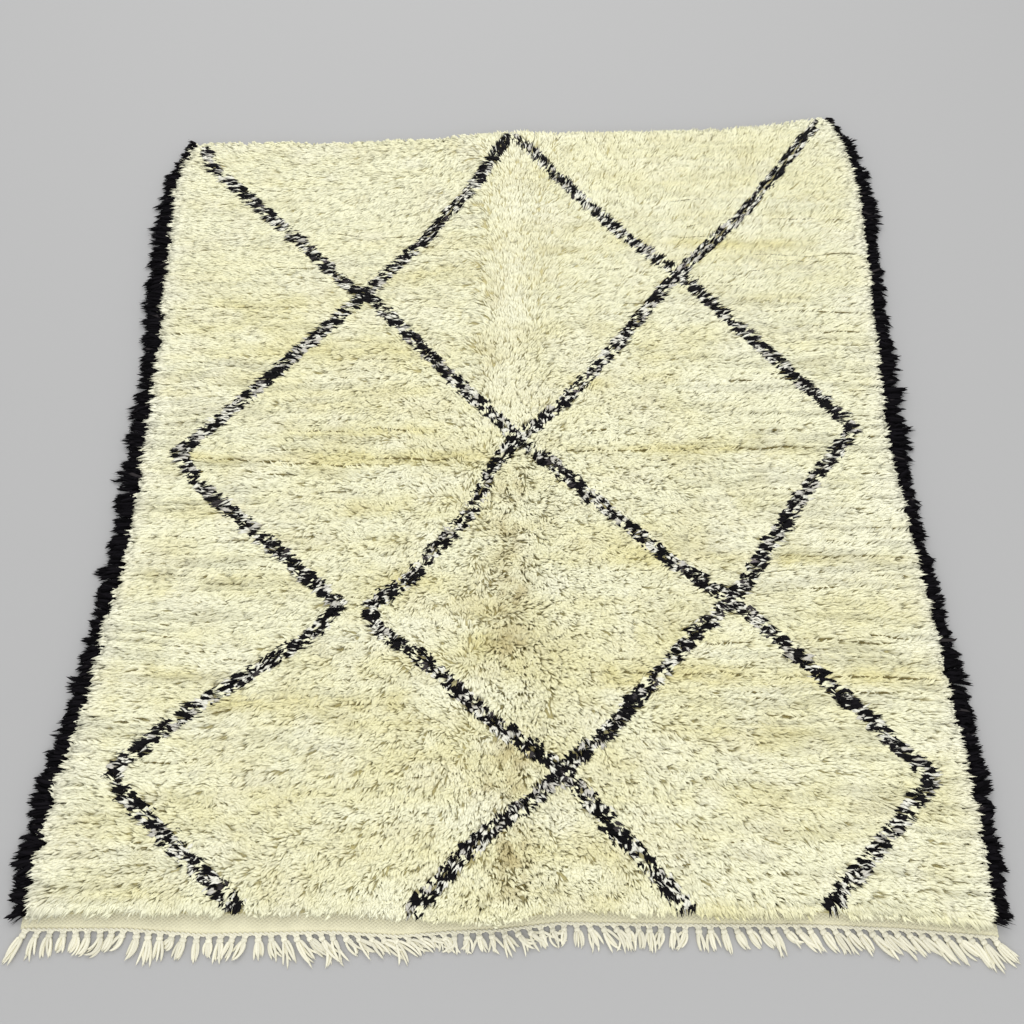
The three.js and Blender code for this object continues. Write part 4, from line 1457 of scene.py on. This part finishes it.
def tubes(paths, widths, squash=1.0):
    """Points of many tapered yarns. paths is (yarns, stations, 3) and widths (yarns, stations). Each
    station gets a ring of four points; the first and last points of a path close the ends."""
    side, over = square_to(normalised(np.gradient(paths, axis=1)))
    angle = (np.arange(TUBE_SIDES)[:, None] + 0.5) * 2 * math.pi / TUBE_SIDES
    spokes = np.cos(angle) * side[:, :, None, :] + squash * np.sin(angle) * over[:, :, None, :]
    stations = paths[:, :, None, :] + 0.5 * widths[:, :, None, None] * spokes
    inner = stations[:, 1:-1].reshape(len(paths), -1, 3)
    return np.concatenate([paths[:, :1], inner, paths[:, -1:]], axis=1)


def tube_parts(stations):
    """Triangles of one tube and their places on its map square: a fan at each end and a strip between
    neighbouring rings, round it in steps across and along it upwards."""
    faces, patch = [], []
    bands = stations - 2
    last = 1 + bands * TUBE_SIDES
    for i in range(TUBE_SIDES):
        j = (i + 1) % TUBE_SIDES
        low, high = i / TUBE_SIDES, (i + 1) / TUBE_SIDES
        middle = (low + high) / 2
        faces += [(0, 1 + i, 1 + j), (last, last - TUBE_SIDES + j, last - TUBE_SIDES + i)]
        patch.append([(middle, 0.0), (low, TUBE_CAP), (high, TUBE_CAP)])
        patch.append([(middle, 1.0), (high, 1 - TUBE_CAP), (low, 1 - TUBE_CAP)])
        for band in range(bands - 1):
            a, b = 1 + band * TUBE_SIDES + i, 1 + band * TUBE_SIDES + j
            faces += [(a, a + TUBE_SIDES, b), (b, a + TUBE_SIDES, b + TUBE_SIDES)]
            down, up = (TUBE_CAP + (1 - 2 * TUBE_CAP) * n / (bands - 1) for n in (band, band + 1))
            patch += [[(low, down), (low, up), (high, down)], [(high, down), (low, up), (high, up)]]
    return np.array(faces), np.array(patch)


def yarn(tube_points, draw):
    """A set of like yarns, each of its own slightly different tone."""
    count, corners = tube_points.shape[:2]
    shade = YARN * draw.uniform(*YARN_TONE, count)[:, None]
    return tube_points, *tube_parts(2 + (corners - 2) // TUBE_SIDES), all_corners(shade, corners)


# %% [markdown]
# ## Tassels
#
# A tassel is made of three runs of yarn: its warps from the band down to the knot, the knot itself,
# squashed a little by its own tightness, and the loose plies below it. The plies swell apart and draw in
# again at their tips, and each curls a little by itself.

# %% Tassels
PLIES, PLY_STATIONS = 6, 8
WARPS, WARP_STATIONS = 3, 5
KNOT_STATIONS = 7
KNOT_REACH, KNOT_HEIGHT = 0.0095, 0.0036
KNOT_HALF_LENGTH, KNOT_WIDTH, KNOT_SQUASH = 0.0050, 0.0135, 0.60
PLY_WIDTH, WARP_WIDTH = (0.0046, 0.0060), 0.0050
PLY_LEVELS, PLY_LIMITS = (0.0026, 0.0050), (0.0018, 0.0056)
PLY_DROP, PLY_START = 0.0016, 0.008
PLY_CHANCE, LEVEL_CHANCE, PLY_LENGTH = 0.2, 0.0005, (0.80, 1.06)
LEAN_CHANCE, HOOK_CHANCE = 5, 10
TASSEL_LENGTH, KNOT_SIZE = (0.86, 1.08), (0.9, 1.1)
WARP_PITCH, WARP_INSET, WARP_HEIGHT = 0.0058, 0.0020, 0.0028

draw = np.random.default_rng(81)
left, right = at(CLOTH_LEFT, ORIGIN[1]), at(CLOTH_RIGHT, ORIGIN[1])
tassels = int((right - left) / TASSEL_PITCH)
tassel_x = left + (np.arange(tassels) + 0.5) * (right - left) / tassels
tassel_y = at(CLOTH_START, tassel_x)
across = tassel_x - ORIGIN[0]
lean_angle = np.radians(lie(1, across) + draw.normal(0, LEAN_CHANCE, tassels))
length = lie(2, across) * draw.uniform(*TASSEL_LENGTH, tassels)
hook = np.radians(lie(3, across) + draw.normal(0, HOOK_CHANCE, tassels))
loose = np.radians(lie(4, across))
knot_point = np.column_stack([
    tassel_x + 0.8 * KNOT_REACH * np.sin(lean_angle),
    tassel_y - KNOT_REACH * np.cos(0.5 * lean_angle),
    np.full(tassels, KNOT_HEIGHT),
])

step = np.linspace(0, 1, PLY_STATIONS)
ply_owner = np.repeat(np.arange(tassels), PLIES)
plies = len(ply_owner)
slot = np.tile(np.arange(PLIES) - (PLIES - 1) / 2, tassels) / ((PLIES - 1) / 2)
ply_curl = draw.normal(0, 1, plies) * loose[ply_owner]
ply_angle = (lean_angle[ply_owner] + 0.20 * ply_curl)[:, None]
ply_angle = ply_angle + (hook[ply_owner] + 0.9 * ply_curl)[:, None] * step
ply_run = (length[ply_owner] - PLY_START) * draw.uniform(*PLY_LENGTH, plies)
ply_run = ply_run[:, None] / (PLY_STATIONS - 1)
moves = np.stack([np.sin(ply_angle), -np.cos(ply_angle)], 2) * ply_run[:, :, None]
middle = np.cumsum(moves, axis=1) - moves[:, :1]
swell = 0.0014 + 0.0040 * np.sin(math.pi * np.clip(step * 0.80, 0, 1) ** 0.75)
offset = (slot + draw.normal(0, PLY_CHANCE, plies))[:, None] * swell
sideways = np.stack([np.cos(ply_angle), np.sin(ply_angle)], 2) * offset[:, :, None]
layer = np.where(np.arange(plies) % 2 == 0, *PLY_LEVELS) + draw.normal(0, LEVEL_CHANCE, plies)
level = np.clip(layer[:, None] - PLY_DROP * step**2, *PLY_LIMITS)
ply_paths = np.concatenate([middle + sideways, level[:, :, None]], axis=2)
ply_paths[:, :, :2] += knot_point[ply_owner][:, None, :2]
ply_points = tubes(ply_paths, draw.uniform(*PLY_WIDTH, plies)[:, None] * (1 - 0.80 * step**5))

warp_owner = np.repeat(np.arange(tassels), WARPS)
warp_slot = np.tile(np.arange(WARPS) - (WARPS - 1) / 2, tassels)
warp_start = np.column_stack([
    tassel_x[warp_owner] + WARP_PITCH * warp_slot,
    tassel_y[warp_owner] + WARP_INSET,
    np.full(len(warp_owner), WARP_HEIGHT),
])
warp_step = np.linspace(0, 1, WARP_STATIONS)[None, :, None]
warp_paths = warp_start[:, None] * (1 - warp_step) + knot_point[warp_owner][:, None] * warp_step
warp_points = tubes(warp_paths, np.full(warp_paths.shape[:2], WARP_WIDTH))

knot_step = np.linspace(-1, 1, KNOT_STATIONS)
knot_paths = np.repeat(knot_point[:, None, :], KNOT_STATIONS, axis=1)
knot_paths[:, :, 0] += KNOT_HALF_LENGTH * knot_step * np.sin(lean_angle)[:, None]
knot_paths[:, :, 1] -= KNOT_HALF_LENGTH * knot_step * np.cos(lean_angle)[:, None]
knot_round = KNOT_WIDTH * np.sqrt(np.clip(1 - knot_step**2, 0, 1))
knot_round = knot_round[None] * draw.uniform(*KNOT_SIZE, (tassels, 1))
knot_points = tubes(knot_paths, knot_round, KNOT_SQUASH)

# %% [markdown]
# ## The heading cord
#
# Two strands of yarn twisted round each other run along the lower edge of the band, and lock the last
# weft in place. Each strand is a helix: a wave across and a wave up and down, a quarter turn apart.

# %% Heading cord
CORD_PLIES, CORD_PITCH, CORD_STATION = 2, 0.016, 0.003
CORD_ACROSS, CORD_UP, CORD_WIDTH = 0.0015, 0.0013, 0.0036
CORD_INSET, CORD_HEIGHT, CORD_END = 0.0004, 0.0034, 0.002
cord_x = np.arange(left + CORD_END, right - CORD_END, CORD_STATION)
cord_turn = 2 * math.pi * (cord_x[None, :] / CORD_PITCH + np.arange(CORD_PLIES)[:, None] / CORD_PLIES)
cord_paths = np.stack([
    np.broadcast_to(cord_x, cord_turn.shape),
    at(CLOTH_START, cord_x)[None, :] - CORD_INSET + CORD_ACROSS * np.cos(cord_turn),
    CORD_HEIGHT + CORD_UP * np.sin(cord_turn),
], 2)
cord_points = tubes(cord_paths, np.full(cord_turn.shape, CORD_WIDTH))
fringe_sets = [yarn(points, draw) for points in (ply_points, warp_points, knot_points, cord_points)]
fringe = many("fringe_yarns", fringe_sets, warp_yarn)
print("tassels:", tassels, "fringe triangles:", len(fringe.data.polygons))

# %% [markdown]
# ## Riding on the frame
#
# The rug is one body, so every piece rides on the root. Each stands for the solid that it dresses. The
# ground cloth is the sheet that carries the rest.

# %% Riding on the frame
SEWN = [
    (cloth, "ground_weave_wool", "ground_weave"),
    (bed, "cream_pile_wool", "pile_field"),
    (edging_left, "black_edging_wool", "edging_left"),
    (edging_right, "black_edging_wool", "edging_right"),
    (fringe, "warp_yarn", "fringe"),
]
SEWN += [(piece, "cream_pile_wool", "pile_field") for piece in pile_pieces]
for piece, slot_name, node in SEWN:
    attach(piece, "root")
    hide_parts(node)
total = sum(len(piece.data.polygons) for piece, _, _ in SEWN)
print("triangles in all:", total)

# %% [markdown]
# ## Floor, light and camera
#
# The floor is plain and pale, and a white sky lights the wool from all round, so that it looks soft. Two
# large lamps, a stronger one behind and a weaker one in front, give the strands their bright and shaded
# sides. The camera is held at eye height over the near end and looks down along the rug.

# %% Floor, light and camera
SKY_STRENGTH = 0.95
FLOOR_HALF_WIDTH, FLOOR_COLOUR, FLOOR_ROUGHNESS = 8, (0.42, 0.42, 0.42, 1), 0.9
WINDOW = {"position": (-0.3, 2.2, 2.8), "size": 2.0, "power": 32}
FILL = {"position": (0.4, -2.6, 2.6), "size": 2.5, "power": 20}
CAMERA_HEIGHT, CAMERA_BACK, CAMERA_DOWN = 1.712, 0.157, math.radians(63.3)
SENSOR_WIDTH, LENS = 36, 36.1

world = bpy.data.worlds.new("soft room")
bpy.context.scene.world = world
world.use_nodes = True
sky = world.node_tree.nodes["Background"]
feed(world.node_tree, sky, {"Color": (1, 1, 1, 1), "Strength": SKY_STRENGTH})
bpy.context.scene.view_settings.view_transform = "Standard"

floor_material = bpy.data.materials.new("pale floor")
floor_material.use_nodes = True
floor_shader = floor_material.node_tree.nodes["Principled BSDF"]
floor_finish = {"Base Color": FLOOR_COLOUR, "Roughness": FLOOR_ROUGHNESS}
feed(floor_material.node_tree, floor_shader, floor_finish)
corners = FLOOR_HALF_WIDTH * np.array([[-1, -1, 0], [1, -1, 0], [1, 1, 0], [-1, 1, 0]], float)
floor = mesh_object("floor", corners, np.array([[0, 1, 2, 3]]), floor_material)


def softbox(name, position, size, power):
    """A square area light that looks at the middle of the rug."""
    light = bpy.data.lights.new(name, "AREA")
    light.size = size
    light.energy = power
    obj = bpy.data.objects.new(name, light)
    obj.location = position
    aim = -np.array(position)
    flat = math.hypot(aim[0], aim[1])
    obj.rotation_euler = (math.atan2(flat, -aim[2]), 0, math.atan2(aim[1], aim[0]) - math.pi / 2)
    bpy.context.scene.collection.objects.link(obj)


softbox("window", **WINDOW)
softbox("fill", **FILL)

camera_data = bpy.data.cameras.new("camera")
camera_data.sensor_width = SENSOR_WIDTH
camera_data.lens = LENS
camera = bpy.data.objects.new("camera", camera_data)
camera.location = (ORIGIN[0], ORIGIN[1] - CAMERA_BACK, CAMERA_HEIGHT)
camera.rotation_euler = (math.pi / 2 - CAMERA_DOWN, 0, 0)
bpy.context.scene.collection.objects.link(camera)
bpy.context.scene.camera = camera
